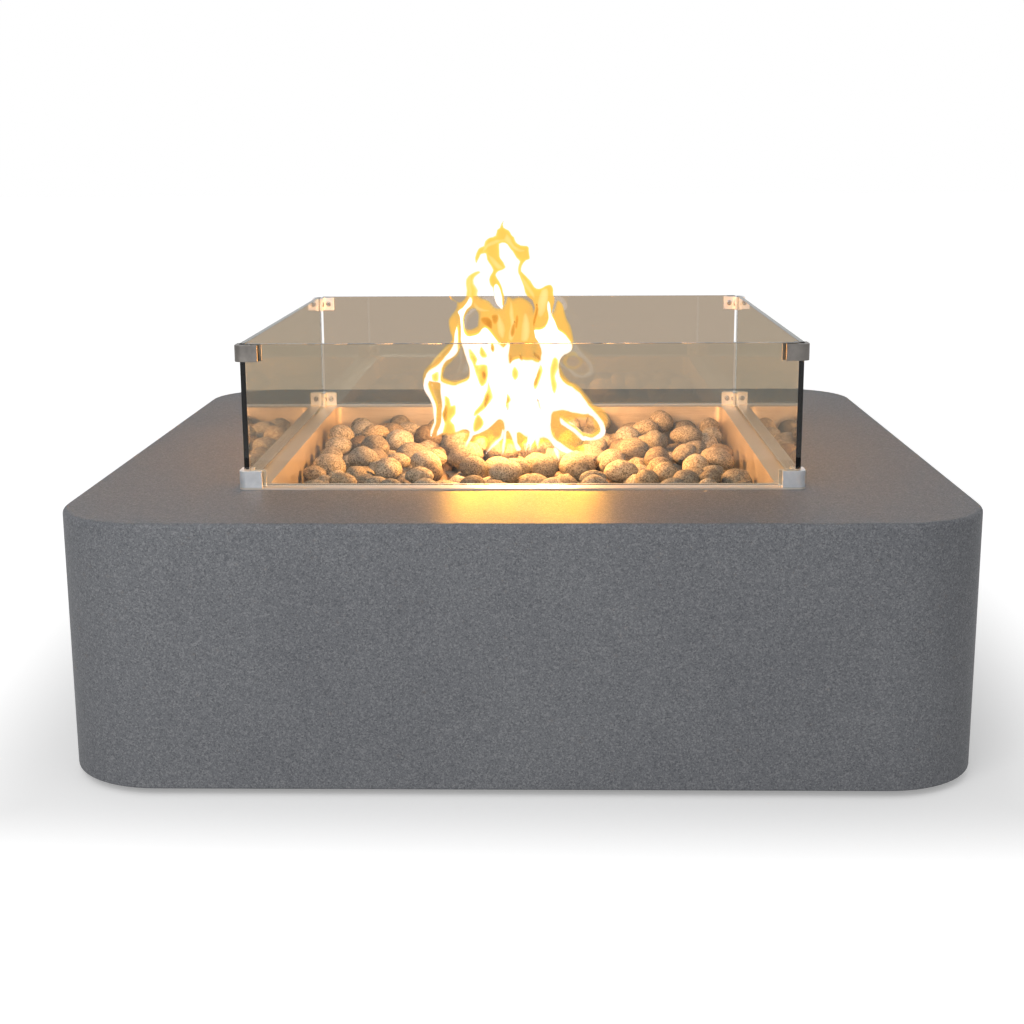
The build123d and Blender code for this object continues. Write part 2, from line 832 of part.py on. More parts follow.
def inlet_fitting():
    """A bulkhead fitting: male flare outside in a pocket, hexagon inside, elbow to the line."""
    knuckle = valve_mid_y - inlet_thread
    thread_end = pocket_floor + inlet_nut + cut_over
    solid = rod((inlet_x, thread_end, inlet_z), (0, 1, 0), wall_out - thread_end, inlet_radius)
    solid = chamfer(solid.edges().filter_by_position(Axis.Y, wall_out, wall_out), inlet_edge)
    solid += rod((inlet_x, knuckle, inlet_z), (0, 1, 0), thread_end - knuckle, inlet_thread)
    solid += hexagon((inlet_x, wall_in - inlet_hex, inlet_z), (0, 1, 0), inlet_hex, inlet_flats)
    solid += rod((inlet_x, valve_mid_y, inlet_z), (-1, 0, 0), inlet_reach, inlet_arm)
    mouth = (inlet_x, wall_out + cut_over, inlet_z)
    return solid - rod(mouth, (0, -1, 0), body_wall, inlet_bore)


def inlet_locknut():
    start = (inlet_x, pocket_floor, inlet_z)
    return ring_nut(start, (0, 1, 0), inlet_nut, inlet_flats, inlet_thread + running_fit)


elbow_face = (0, elbow_reach, mixer_bottom - orifice_hex - elbow_drop)
valve_rear_face = (knob_x, valve_rear - valve_stub, recess_z)
valve_inlet_face = (knob_x, valve_mid_y, valve_under - valve_stub)
inlet_face = (inlet_x - inlet_reach, valve_mid_y, inlet_z)


def main_gas_line():
    """From the valve outlet forward and down to the elbow under the orifice."""
    start, end = valve_rear_face, elbow_face
    points = [
        start,
        (start[0], start[1] - line_straight, start[2]),
        (end[0], end[1] + line_straight, end[2]),
        end,
    ]
    return pipe_run(points, main_line_radius, line_bend)


def supply_line():
    """From the inlet fitting along the wall and up to the valve."""
    start, end = valve_inlet_face, inlet_face
    points = [start, (start[0], start[1], end[2]), end]
    return pipe_run(points, line_radius, line_bend / 2)


def flare_nuts():
    ends = [
        (valve_rear_face, (0, -1, 0), main_line_radius),
        (elbow_face, (0, 1, 0), main_line_radius),
        (valve_inlet_face, (0, 0, -1), line_radius),
        (inlet_face, (-1, 0, 0), line_radius),
    ]
    return [
        ring_nut(face, direction, flare_nut_length, 3 * radius, radius + sliding_fit)
        for face, direction, radius in ends
    ]


# ---------------------------------------------------------------- levelling feet
def foot_insert(x, y):
    """A flanged threaded bush moulded into the corner block."""
    solid = rod((x, y, gusset_bottom - insert_flange), (0, 0, 1), insert_flange, insert_flange_radius)
    solid += rod((x, y, gusset_bottom), (0, 0, 1), insert_length, insert_radius - running_fit)
    below = (x, y, gusset_bottom - insert_flange - cut_over)
    return solid - rod(below, (0, 0, 1), 2 * insert_length, stud_radius + running_fit)


def foot_stud(x, y):
    solid = rod((x, y, stud_bottom), (0, 0, 1), hex_bottom - stud_bottom, stud_radius)
    solid += hexagon((x, y, hex_bottom), (0, 0, 1), stud_hex, stud_flats)
    return solid + rod((x, y, hex_top), (0, 0, 1), stud_shank, stud_radius)


def foot_pad(x, y):
    solid = rod((x, y, 0), (0, 0, 1), pad_height, pad_radius)
    solid = chamfer(edges_at(solid, pad_height), pad_edge)
    return solid - rod((x, y, stud_bottom), (0, 0, 1), pad_height, stud_radius + sliding_fit)


# ---------------------------------------------------------------- glass wind guard
def guard_pane():
    """One pane, standing at the front, its outer face against the outer walls of the clips."""
    inner = -glass_outer + glass_thickness
    solid = block((-pane_half, -glass_outer, glass_bottom), (pane_half, inner, glass_top))
    return chamfer(solid.edges().filter_by(Axis.X), glass_arris)


def plan_bar(x0, y0, x1, y1):
    """A rectangle in plan between two corners."""
    return Pos((x0 + x1) / 2, (y0 + y1) / 2) * Rectangle(x1 - x0, y1 - y0)


def two_arms(x0, y0, x1, y1):
    """The same rectangle along both arms of the corner clip."""
    return plan_bar(x0, y0, x1, y1) + plan_bar(y0, x0, y1, x1)


def clip_profile(slotted):
    """Plan of the front left corner clip, with its outer corner at the origin."""
    plate_end = clip_length + clip_plate_extra
    outline = two_arms(0, 0, clip_length, clip_arm)
    outline += two_arms(clip_arm - clip_plate, clip_arm - clip_plate, plate_end, clip_arm)
    column_place = clip_wall + slot_width
    outline += Pos(column_place, column_place) * Circle(clip_column)
    corner = outline.vertices().sort_by_distance((0, 0, 0))[0]
    outline = fillet(corner, clip_corner)
    if slotted:
        slot_start = clip_length - clip_overlap
        outline -= two_arms(slot_start, clip_wall, plate_end + cut_over, clip_wall + slot_width)
    return outline


def corner_clip(bottom, has_floor):
    """A clip extruded from its plan, drilled for its two set screws."""
    floor = clip_floor if has_floor else 0
    place = Pos(-guard_half, -guard_half, bottom)
    solid = place * Pos(0, 0, floor) * extrude(clip_profile(True), amount=clip_height - floor)
    if has_floor:
        solid += place * extrude(clip_profile(False), amount=floor)
    start, middle = -guard_half + clip_arm + cut_over, bottom + clip_height / 2
    through = clip_plate + 2 * cut_over
    for direction, x, y in (((0, -1, 0), screw_along, start), ((-1, 0, 0), start, screw_along)):
        solid -= rod((x, y, middle), direction, through, guard_screw + running_fit)
    return solid


screw_along = -guard_half + clip_length - screw_from_end


def clip_pad_piece():
    """A silicone pad under the clip, which keeps the guard off the steel flange."""
    corner = Pos(-guard_half, -guard_half, flange_top)
    return corner * extrude(clip_profile(False), amount=clip_pad)


def clip_screw_pair(middle):
    """Domed set screws through the inner plates, bearing on the glass."""
    glass_face = -glass_outer + glass_thickness
    plate_face = -guard_half + clip_arm
    screw = rod((screw_along, glass_face, middle), (0, 1, 0), plate_face - glass_face, guard_screw)
    seat = Plane(origin=(screw_along, plate_face, middle), z_dir=(0, 1, 0))
    head = seat * Circle(guard_screw_head)
    screw += extrude(head, amount=guard_screw_dome, taper=guard_screw_slope)
    diagonal = Plane(origin=(0, 0, 0), z_dir=(1, -1, 0))
    return [screw, mirror(screw, about=diagonal)]


top_clip_bottom = glass_top - top_clip_drop - clip_height


# ---------------------------------------------------------------- lava pebbles
def spiral_directions(count, lowest):
    """Even directions over a sphere, from straight up down to a lowest height."""
    height = np.linspace(1, lowest, count)
    turn = np.arange(count) * math.pi * (3 - math.sqrt(5))
    flat = np.sqrt(np.maximum(0, 1 - height**2))
    return np.stack([flat * np.cos(turn), flat * np.sin(turn), height], axis=1)


def pebble_corners(chance):
    """Corners of one worn pebble about its own middle: a bumpy, turned ellipsoid."""
    long_half = chance.uniform(stone_smallest, stone_largest)
    halves = long_half * np.array([1, chance.uniform(0.74, 0.94), chance.uniform(0.58, 0.78)])
    bumps = chance.uniform(0.94, 1.04, (stone_corners, 1))
    corners = spiral_directions(stone_corners, -1) * bumps * halves
    spin, lean = chance.uniform(0, 2 * math.pi), chance.normal(0, 0.22)
    tilt = np.array([[1, 0, 0], [0, np.cos(lean), np.sin(lean)], [0, -np.sin(lean), np.cos(lean)]])
    turn = np.array([[np.cos(spin), np.sin(spin), 0], [-np.sin(spin), np.cos(spin), 0], [0, 0, 1]])
    return corners @ tilt @ turn


def bar_reach(directions, axis, half_length, radius):
    """How far a round bar reaches from its middle along each direction."""
    along = np.abs(directions @ np.asarray(axis, float))
    return half_length * along + radius * np.sqrt(np.maximum(0, 1 - along**2))


def plate_reach(directions, *half_sizes):
    """How far a plate reaches from its middle along each direction."""
    return np.abs(directions) @ np.array(half_sizes)


def burner_obstacles(directions):
    """What stands in the pan for the pebbles to rest on, as middles and reaches."""
    upright, across, along = (0, 0, 1), (1, 0, 0), (0, 1, 0)
    nut_corner = locknut_flats / math.sqrt(3)
    wire_length = math.hypot(electrode_lean, electrode_rise)
    wire_axis = (0, -electrode_lean / wire_length, electrode_rise / wire_length)
    wire_middle = (spark_x, sensor_y - electrode_lean / 2, sensor_top + electrode_rise / 2)
    bars = [
        ((-burner_half, 0, burner_z), along, burner_half, burner_tube),
        ((burner_half, 0, burner_z), along, burner_half, burner_tube),
        ((0, 0, burner_z), across, burner_half, crossbar_tube),
        ((0, 0, burner_z), upright, hub_height / 2, hub_radius),
        ((0, 0, pan_floor + locknut_height / 2), upright, locknut_height / 2, nut_corner),
        ((probe_x, sensor_y, pan_floor), upright, sensor_rise, probe_radius),
        ((spark_x, sensor_y, pan_floor), upright, sensor_rise * insulator_share, insulator_radius),
        ((spark_x, sensor_y, pan_floor), upright, sensor_rise, electrode_radius),
        (wire_middle, wire_axis, wire_length / 2, electrode_radius),
    ]
    half_sheet = pan_sheet / 2
    half_fold = sensor_rise * bracket_fold / 2
    fold_y = sensor_y + bracket_depth / 2 - half_sheet
    plates = [
        ((0, sensor_y, pan_floor + half_sheet), bracket_width / 2, bracket_depth / 2, half_sheet),
        ((0, fold_y, pan_floor + half_fold), bracket_width / 2, half_sheet, half_fold),
    ]
    middles = [piece[0] for piece in bars + plates]
    reaches = [bar_reach(directions, *bar[1:]) for bar in bars]
    return middles, reaches + [plate_reach(directions, *plate[1:]) for plate in plates]


def fill_level(x, y):
    """The surface that the pebbles are heaped to: it rises to the back and to the middle."""
    slope = fill_rise * (0.5 + y / pan_side)
    heap = fill_mound * math.exp(-(x**2 + y**2) / (2 * mound_spread**2))
    return flange_top - fill_below_deck + slope + heap


def resting_height(corners, x, y, middles, reaches, directions):
    """The lowest height at which a pebble let down at a place clears all that lies there."""
    below = (corners @ -directions.T).max(axis=0)
    offset = middles[:, :2] - (x, y)
    near = np.hypot(*offset.T) < reaches.max(axis=1) + below.max()
    lift = reaches[near] + below + stone_gap + offset[near] @ directions[:, :2].T
    on_others = middles[near, 2] + (lift / directions[:, 2]).min(axis=1)
    return max(on_others.max(initial=0), pan_floor + below[0] + stone_gap)


def pebble_bed():
    """Pebbles dropped one by one into the lowest free spot until the pan is full."""
    chance = np.random.default_rng(stone_seed)
    search = spiral_directions(search_directions, 1 / search_directions)
    seat = spiral_directions(seat_directions, 1 / seat_directions)
    middles, search_reaches = burner_obstacles(search)
    seat_reaches = burner_obstacles(seat)[1]
    limit = pan_side / 2 - stone_wall_gap
    corner_limit = (pan_side / 2 - pan_corner) * math.sqrt(2) + pan_corner - stone_wall_gap
    pebbles, misses = [], 0
    while misses < stone_misses:
        corners = pebble_corners(chance)
        reach_x, reach_y, reach_up = np.abs(corners).max(axis=0)
        corner_reach = np.abs(corners[:, :2]).sum(axis=1).max() / math.sqrt(2)
        laid = np.array(middles)
        laid_reaches = np.array(search_reaches)
        best = None
        for _ in range(stone_tries):
            x = chance.uniform(-limit + reach_x, limit - reach_x)
            y = chance.uniform(-limit + reach_y, limit - reach_y)
            if (abs(x) + abs(y)) / math.sqrt(2) + corner_reach > corner_limit:
                continue
            z = resting_height(corners, x, y, laid, laid_reaches, search)
            fits = z + reach_up < fill_level(x, y)
            if fits and (best is None or z < best[2]):
                best = (x, y, z)
        if best is None:
            misses += 1
            continue
        x, y, _ = best
        place = (x, y, resting_height(corners, x, y, laid, np.array(seat_reaches), seat))
        pebbles.append(ConvexPolyhedron([tuple(corner) for corner in corners + place]))
        middles.append(place)
        search_reaches.append((corners @ search.T).max(axis=0))
        seat_reaches.append((corners @ seat.T).max(axis=0))
    return pebbles


# ---------------------------------------------------------------- all the nodes
os.makedirs("parts", exist_ok=True)

write("body_shell", body_shell())
write("burner_pan", burner_pan())
write("burner", burner())
write("burner_pipe", burner_pipe())
write("pan_locknuts", *pan_locknuts())
write("air_mixer", air_mixer())
write("air_shutter", air_shutter())
write("gas_orifice", gas_orifice())
write("orifice_elbow", orifice_elbow())
write("main_gas_line", main_gas_line())
write("supply_line", supply_line())
write("flare_nuts", *flare_nuts())
write("gas_valve", gas_valve())
write("valve_nut", panel_nut_on(knob_x, recess_face + bezel_thickness, valve_neck, panel_nut_flats))
write("knob_bezel", knob_bezel())
write("stem_cup", stem_cup())
write("valve_stem", valve_stem())
write("gas_knob", gas_knob())
write("control_recess", control_recess())
write("recess_screws", *recess_screws())
write("igniter_housing", igniter_housing())
write("igniter_nut", panel_nut_on(igniter_x, recess_face, igniter_neck, igniter_nut_flats))
write("igniter_button", igniter_button())
write("igniter_battery", igniter_battery())
write("sensor_bracket", sensor_bracket())
write("thermocouple", thermocouple())
write("thermocouple_lead", thermocouple_lead())
write("electrode_insulator", electrode_insulator())
write("spark_electrode", spark_electrode())
write("igniter_lead", igniter_lead())
write("inlet_fitting", inlet_fitting())
write("inlet_locknut", inlet_locknut())
write("vent_left", vent_plate(-1))
write("vent_right", vent_plate(1))
write("vent_screws", *vent_screws())
write("foot_inserts", *[foot_insert(x, y) for x, y in foot_centres()])
for name, (x, y) in zip(corner_names, foot_centres()):
    write(f"foot_stud_{name}", foot_stud(x, y))
    write(f"foot_pad_{name}", foot_pad(x, y))
for turn, side in enumerate(["front", "right", "back", "left"]):
    write(f"glass_{side}", Rot(0, 0, 90 * turn) * guard_pane())
for turn, name in enumerate(corner_names):
    write(f"bottom_clip_{name}", Rot(0, 0, 90 * turn) * corner_clip(guard_base, True))
    write(f"top_clip_{name}", Rot(0, 0, 90 * turn) * corner_clip(top_clip_bottom, False))
screw_levels = [guard_base + clip_height / 2, top_clip_bottom + clip_height / 2]
screws = [screw for level in screw_levels for screw in clip_screw_pair(level)]
write("clip_screws", *[Rot(0, 0, 90 * turn) * screw for turn in range(4) for screw in screws])
write("clip_pads", *[Rot(0, 0, 90 * turn) * clip_pad_piece() for turn in range(4)])
pebbles = pebble_bed()
write("lava_stones", *pebbles)
print("pebbles", len(pebbles))
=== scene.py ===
# %% [markdown]
# # A low square gas fire table
# The real object is a hollow cast concrete body with a steel burner pan let into its top. Lava
# pebbles fill the pan, an H burner lies under them, and a glass wind guard stands around it.
# Its solids are already built at their real size, and they are loaded here as a fixed frame. What
# is made here is the looks: a finish for every surface, worn pebbles, eased metal edges, machine
# screws, and the flame, which is part of the stage and not of the object.
# Everything is in metres, +Z is up, the front is at -Y and the controls are in the back at +Y.

import json
import math

import bmesh
import bpy
import numpy as np
from mathutils import Matrix, Vector, noise as soft_noise
from mathutils.geometry import delaunay_2d_cdt

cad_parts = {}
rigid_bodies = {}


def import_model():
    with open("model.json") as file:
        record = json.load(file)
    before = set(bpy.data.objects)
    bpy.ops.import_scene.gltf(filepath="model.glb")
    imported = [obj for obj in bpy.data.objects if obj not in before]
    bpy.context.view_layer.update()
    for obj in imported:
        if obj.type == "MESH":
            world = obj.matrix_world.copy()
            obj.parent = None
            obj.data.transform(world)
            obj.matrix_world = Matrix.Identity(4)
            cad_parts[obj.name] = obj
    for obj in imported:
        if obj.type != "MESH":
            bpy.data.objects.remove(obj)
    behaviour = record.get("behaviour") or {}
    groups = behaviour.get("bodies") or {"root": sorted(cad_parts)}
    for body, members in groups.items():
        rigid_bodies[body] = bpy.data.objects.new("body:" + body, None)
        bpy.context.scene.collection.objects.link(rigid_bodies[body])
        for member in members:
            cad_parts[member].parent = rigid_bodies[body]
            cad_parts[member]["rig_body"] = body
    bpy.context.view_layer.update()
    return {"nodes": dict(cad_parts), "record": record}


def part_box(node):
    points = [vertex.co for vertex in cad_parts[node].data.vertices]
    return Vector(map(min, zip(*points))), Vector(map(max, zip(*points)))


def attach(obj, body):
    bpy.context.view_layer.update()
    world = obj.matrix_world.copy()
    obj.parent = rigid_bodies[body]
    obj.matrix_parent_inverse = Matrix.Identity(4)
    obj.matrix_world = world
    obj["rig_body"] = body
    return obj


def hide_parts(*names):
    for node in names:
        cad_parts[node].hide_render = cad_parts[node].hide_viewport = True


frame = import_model()
nodes = frame["nodes"]
scene = bpy.context.scene

# %% [markdown]
# ## Camera
# The camera stands a little above table height, some two metres away, with a moderately long lens,
# as for a catalogue. The place and the three turning angles fix the view, and the lens length fixes
# how much of it fills the square frame. The object's own sizes don't depend on it.

# %% The camera
CAMERA_PLACE = Vector((0.03513, -2.2515, 0.7122))
CAMERA_YAW = -0.0244
CAMERA_PITCH = 0.2167
CAMERA_ROLL = -0.0056
CAMERA_LENS_MM = 56.44


def camera_axes(yaw, pitch, roll):
    """Right, up and forward of a camera turned by yaw, tipped down by pitch and rolled."""
    level = math.cos(pitch)
    forward = Vector((math.sin(yaw) * level, math.cos(yaw) * level, -math.sin(pitch)))
    right = Vector((math.cos(yaw), -math.sin(yaw), 0))
    up = right.cross(forward)
    turned_right = math.cos(roll) * right + math.sin(roll) * up
    turned_up = math.cos(roll) * up - math.sin(roll) * right
    return turned_right, turned_up, forward


right, up, forward = camera_axes(CAMERA_YAW, CAMERA_PITCH, CAMERA_ROLL)
camera_data = bpy.data.cameras.new("camera")
camera_data.lens = CAMERA_LENS_MM
camera_data.clip_end = 100
camera = bpy.data.objects.new("camera", camera_data)
turn = Matrix((right, up, -forward)).transposed().to_4x4()
camera.matrix_world = Matrix.Translation(CAMERA_PLACE) @ turn
scene.collection.objects.link(camera)
scene.camera = camera
print("camera looks along", [round(c, 3) for c in forward])

# %% [markdown]
# ## Small helpers
# Colours are written as sRGB hex, the way a paint chart gives them, and one function turns them
# into the linear values that a shader works in. One function adds a node with its settings and its
# links, so that a material reads as a list of what it is made of. Two more turn the points and
# faces of a mesh being worked on into a piece of the scene. The size of a pattern is written as
# 1000 / SIZE_MM, because Blender counts how many of it go into a metre. A noise lies mostly
# between 0.3 and 0.7, so that is the range that colours and roughness are spread over.

# %% Colour and node helpers


def linear(hex_code):
    """An sRGB hex colour as linear values."""
    channels = [int(hex_code[i : i + 2], 16) / 255 for i in (1, 3, 5)]
    values = [c / 12.92 if c <= 0.04045 else ((c + 0.055) / 1.055) ** 2.4 for c in channels]
    return (*values, 1.0)


def give(tree, node, stops=(), **given):
    """Sets up a node. A name is one of its settings or inputs, and _0 is its first input. A value
    that is another node's output is linked, and one that starts with # is a colour. The stops of
    a colour ramp are places and colours."""
    for name, value in given.items():
        plain = name.replace("_", " ").strip()
        if not plain.isdigit() and hasattr(node, name):
            setattr(node, name, value)
            continue
        socket = node.inputs[int(plain) if plain.isdigit() else plain]
        if isinstance(value, bpy.types.NodeSocket):
            tree.links.new(value, socket)
        else:
            socket.default_value = linear(value) if str(value).startswith("#") else value
    for i, (place, colour) in enumerate(stops):
        elements = node.color_ramp.elements
        element = elements[i] if i < len(elements) else elements.new(place)
        element.position, element.color = place, linear(colour)


def add(tree, kind, out=None, **given):
    """Adds a node with its settings and links, and gives it, or the output that is asked for."""
    node = tree.nodes.new(kind)
    give(tree, node, **given)
    return node if out is None else node.outputs[out]


def bare_material(name):
    """A material with nothing in it but its output."""
    material = bpy.data.materials.new(name)
    material.use_nodes = True
    tree = material.node_tree
    tree.nodes.clear()
    return material, tree, add(tree, "ShaderNodeOutputMaterial")


def new_material(name):
    """A material: its tree, its shader, and the place on the piece that patterns read."""
    material, tree, output = bare_material(name)
    shader = add(tree, "ShaderNodeBsdfPrincipled")
    give(tree, output, Surface=shader.outputs[0])
    return material, tree, shader, add(tree, "ShaderNodeTexCoord", "Object")


def as_mesh(work, name):
    """Ends the work on a mesh, and gives it as a mesh of that name."""
    mesh = bpy.data.meshes.new(name)
    work.to_mesh(mesh)
    work.free()
    return mesh


def as_piece(data, name):
    """A mesh, or a lamp's data, as a new object of the scene."""
    piece = bpy.data.objects.new(name, data)
    scene.collection.objects.link(piece)
    return piece


print("helpers ready")

# %% [markdown]
# ## Cast concrete
# The body is glass-fibre reinforced concrete: a fine grey mortar sprayed and pressed into a mould,
# then lightly blasted and sealed matt. The eye sees a fine even speckle of paler and darker sand
# grains, a faint cloudiness where the mix dried unevenly, and hardly any gloss. The speckle is
# drawn 1.3 to 1.7 mm across, coarser than real fine sand, so that it shows from two metres.

# %% Cast concrete
GRAIN_MM = 1.3
SAND_MM = 1.7
CLOUD_MM = 160
PALE_SAND = ("GREATER_THAN", 0.84, 0.30, "#a3a3a4")  # which grains, how much they show, colour
DARK_SAND = ("LESS_THAN", 0.14, 0.32, "#45474b")


def cast_concrete():
    material, tree, shader, place = new_material("cast_concrete_sealed_matt")
    grain = add(
        tree, "ShaderNodeTexNoise", "Fac", Vector=place, Scale=1000 / GRAIN_MM, Detail=3,
        Roughness=0.75,
    )
    cloud = add(
        tree, "ShaderNodeTexNoise", "Fac", Vector=place, Scale=1000 / CLOUD_MM, Detail=5,
        Roughness=0.6,
    )
    cells = add(tree, "ShaderNodeTexVoronoi", "Color", Vector=place, Scale=1000 / SAND_MM)
    sand = add(tree, "ShaderNodeSeparateColor", 0, Color=cells)
    colour = add(
        tree, "ShaderNodeValToRGB", 0, Fac=grain,
        stops=((0.30, "#606266"), (0.50, "#75777b"), (0.70, "#8b8c8e")),
    )
    for test, limit, share, tint in (PALE_SAND, DARK_SAND):
        chosen = add(tree, "ShaderNodeMath", 0, operation=test, _0=sand, _1=limit)
        shows = add(tree, "ShaderNodeMath", 0, operation="MULTIPLY", _0=chosen, _1=share)
        colour = add(tree, "ShaderNodeMix", 2, data_type="RGBA", _0=shows, _6=colour, _7=tint)
    clouds = add(
        tree, "ShaderNodeValToRGB", 0, Fac=cloud, stops=((0.3, "#b4b4b6"), (0.7, "#c8c8c8")),
    )
    clouded = add(
        tree, "ShaderNodeMix", 2, data_type="RGBA", blend_type="OVERLAY", _0=0.5, _6=colour,
        _7=clouds,
    )
    sheen = add(
        tree, "ShaderNodeMapRange", 0, Value=cloud, From_Min=0.3, From_Max=0.7, To_Min=0.36,
        To_Max=0.44,
    )
    relief = add(tree, "ShaderNodeBump", 0, Height=grain, Distance=0.45 / 1000, Strength=0.5)
    give(
        tree, shader, Base_Color=clouded, Roughness=sheen, Normal=relief, IOR=1.5,
        Specular_IOR_Level=0.05,
    )
    return material


# %% [markdown]
# ## Brushed and satin metals
# The pan, the recess and the vents are folded stainless sheet, ground in one direction, which
# leaves hair-fine lines that stretch reflections across them. The clips are die castings with a
# satin nickel plate, which has no direction. Fittings are turned brass, and the knob and the feet
# are moulded. All of them have a fine grain from how they were worked and softer wear over it, so
# one function makes them, and each kind says what its grain and its wear are.

# %% Worked surfaces
def worked_surface(name, pale, dark, rough, grain, wear, by_grain=False, **rest):
    """A surface with a grain, as relief, and with wear in softer blotches. A grain is its size,
    detail, roughness, depth in millimetres, strength and stretch, and wear is its size, detail and
    roughness, and how far it takes the gloss down and up. Colour follows the grain or the wear."""
    material, tree, shader, place = new_material(name)
    grain_mm, grain_detail, grain_roughness, depth_mm, strength, stretch = grain
    wear_mm, wear_detail, wear_roughness, less, more = wear
    drawn = add(tree, "ShaderNodeMapping", 0, Vector=place, Scale=(1 / stretch, 1, 1))
    lines = add(
        tree, "ShaderNodeTexNoise", "Fac", Vector=drawn, Scale=1000 / grain_mm,
        Detail=grain_detail, Roughness=grain_roughness,
    )
    worn = add(
        tree, "ShaderNodeTexNoise", "Fac", Vector=place, Scale=1000 / wear_mm,
        Detail=wear_detail, Roughness=wear_roughness,
    )
    colour = add(
        tree, "ShaderNodeValToRGB", 0, Fac=lines if by_grain else worn,
        stops=((0.3, dark), (0.7, pale)),
    )
    gloss = add(
        tree, "ShaderNodeMapRange", 0, Value=worn, From_Min=0.3, From_Max=0.7,
        To_Min=rough - less, To_Max=rough + more,
    )
    relief = add(
        tree, "ShaderNodeBump", 0, Height=lines, Distance=depth_mm / 1000, Strength=strength,
    )
    give(tree, shader, Base_Color=colour, Roughness=gloss, Normal=relief, **rest)
    return material


def brushed_sheet(name, pale, dark, line_mm, rough, metallic=1.0):
    """Sheet metal ground along one axis, with faint smudges from handling."""
    grain = (line_mm, 4, 0.7, 0.02, 0.25, 40)
    smudges = (70, 4, 0.6, 0.05, 0.08)
    return worked_surface(name, pale, dark, rough, grain, smudges, True, Metallic=metallic)


def satin_metal(name, pale, dark, rough, grain_mm=0.9, depth_mm=0.01, metallic=1.0):
    """A cast or turned metal with an even satin surface and slight tarnish."""
    grain = (grain_mm, 3, 0.6, depth_mm, 0.4, 1)
    tarnish = (14, 4, 0.6, 0.04, 0.06)
    return worked_surface(name, pale, dark, rough, grain, tarnish, Metallic=metallic)


def moulded(name, pale, dark, rough, grain_mm=0.7, depth_mm=0.03, ior=1.5):
    """A moulded plastic, rubber or fired ceramic with a fine eroded grain."""
    grain = (grain_mm, 2, 0.5, depth_mm, 0.5, 1)
    rubbed = (22, 3, 0.5, 0.07, 0.07)
    return worked_surface(name, pale, dark, rough, grain, rubbed, IOR=ior)


# %% [markdown]
# ## Tempered glass
# The panes are 6.35 mm float glass with ground edges. Face on it is almost clear, with a faint warm
# grey tint, and at a glancing angle it is a mirror. Seen end on, light travels far inside it and
# comes out dark green, from the iron in the sand: absorption inside the glass gives that by
# itself. Lamps shine through panes almost unweakened, so shadow rays pass them.

# %% Tempered glass


def tempered_glass():
    material, tree, shader, _ = new_material("tempered_float_glass")
    give(tree, shader, Base_Color="#f3efe8", Roughness=0.0, IOR=1.52, Transmission_Weight=1.0)
    clear = add(tree, "ShaderNodeBsdfTransparent", 0, Color="#f0ece4")
    is_shadow = add(tree, "ShaderNodeLightPath", "Is Shadow Ray")
    both = add(tree, "ShaderNodeMixShader", 0, _0=is_shadow, _1=shader.outputs[0], _2=clear)
    inside = add(tree, "ShaderNodeVolumeAbsorption", 0, Color="#7fbf95", Density=14.0)
    give(tree, tree.nodes["Material Output"], Surface=both, Volume=inside)
    return material


# %% [markdown]
# ## Dress the frame
# Every slot of the record gets one of these finishes, and each solid takes the finish of its slot,
# but the two top clips at the front take a darker copy of the clip finish: a painted dark
# reflection.
# Where a solid has the right shape already, that is all it needs.

# %% Finishes by slot
finishes = {
    "cast_concrete": cast_concrete(),
    "pan_steel": brushed_sheet("stainless_pan_sheet", "#f0e8de", "#d8cec2", 0.9, 0.36, 0.8),
    "burner_steel": brushed_sheet("stainless_tube_heat_tinted", "#b59a7c", "#6e6a72", 4.0, 0.42),
    "pipe_steel": satin_metal("black_iron_pipe", "#4a4a4c", "#2d2d2f", 0.5, 1.2, 0.05),
    "brass_fittings": satin_metal("turned_brass", "#d9b873", "#b8934f", 0.3),
    "cast_mixer": satin_metal("cast_iron_as_cast", "#5c5d60", "#3f4043", 0.55, 1.5, 0.12),
    "zinc_steel": satin_metal("bright_zinc_plate", "#c9ccd2", "#a9adb4", 0.34),
    "aluminium_line": satin_metal("drawn_aluminium_tube", "#d2d4d6", "#b4b7ba", 0.32),
    "chrome_nut": satin_metal("bright_nickel_plate", "#dcdde0", "#c2c4c8", 0.16, 0.9, 0.004),
    "bezel_steel": brushed_sheet("satin_stainless_bezel", "#cfd0d1", "#adafb1", 0.8, 0.32),
    "black_knob": moulded("black_phenolic", "#26272a", "#1b1c1e", 0.42),
    "recess_steel": brushed_sheet("satin_stainless_sheet", "#c9cacb", "#a5a7a9", 0.9, 0.36),
    "steel_screws": satin_metal("stainless_screw", "#d3d4d6", "#b2b4b7", 0.24, 0.8, 0.004),
    "black_housing": moulded("black_nylon", "#2b2c2e", "#1e1f21", 0.55),
    "black_button": moulded("black_nylon_polished", "#2a2b2d", "#1d1e20", 0.28, 0.7, 0.01),
    "battery_case": moulded("battery_sleeve", "#59616b", "#474e57", 0.35, 0.7, 0.005),
    "copper_probe": satin_metal("dull_copper", "#b87556", "#7d4f3d", 0.4),
    "white_ceramic": moulded("white_alumina", "#efece4", "#dedad0", 0.35, 0.5, 0.01, 1.76),
    "lead_silicone": moulded("silicone_sleeve", "#3a3a3a", "#2a2a2a", 0.6),
    "foot_rubber": moulded("moulded_rubber", "#2c2c2d", "#1d1d1e", 0.75, 1.0, 0.06, 1.52),
    "clear_silicone": moulded("milky_silicone", "#d9d8d4", "#c6c5c0", 0.45, 1.0, 0.02, 1.41),
    "clip_metal": satin_metal(
        "satin_nickel_casting", "#f0f3f7", "#dde2e8", 0.36, 0.8, 0.008, metallic=0.75,
    ),
    "tempered_glass": tempered_glass(),
}
slot_of = {row["node"]: row["material_slot"] for row in frame["record"]["subparts"]}
# A darker copy of the clip finish for the two top clips at the front: a painted dark reflection,
# not a different plating.
clip_with_painted_dark_reflection = satin_metal("smoked_nickel_casting", "#8f8a85", "#7b7773", 0.34, 0.8, 0.008)
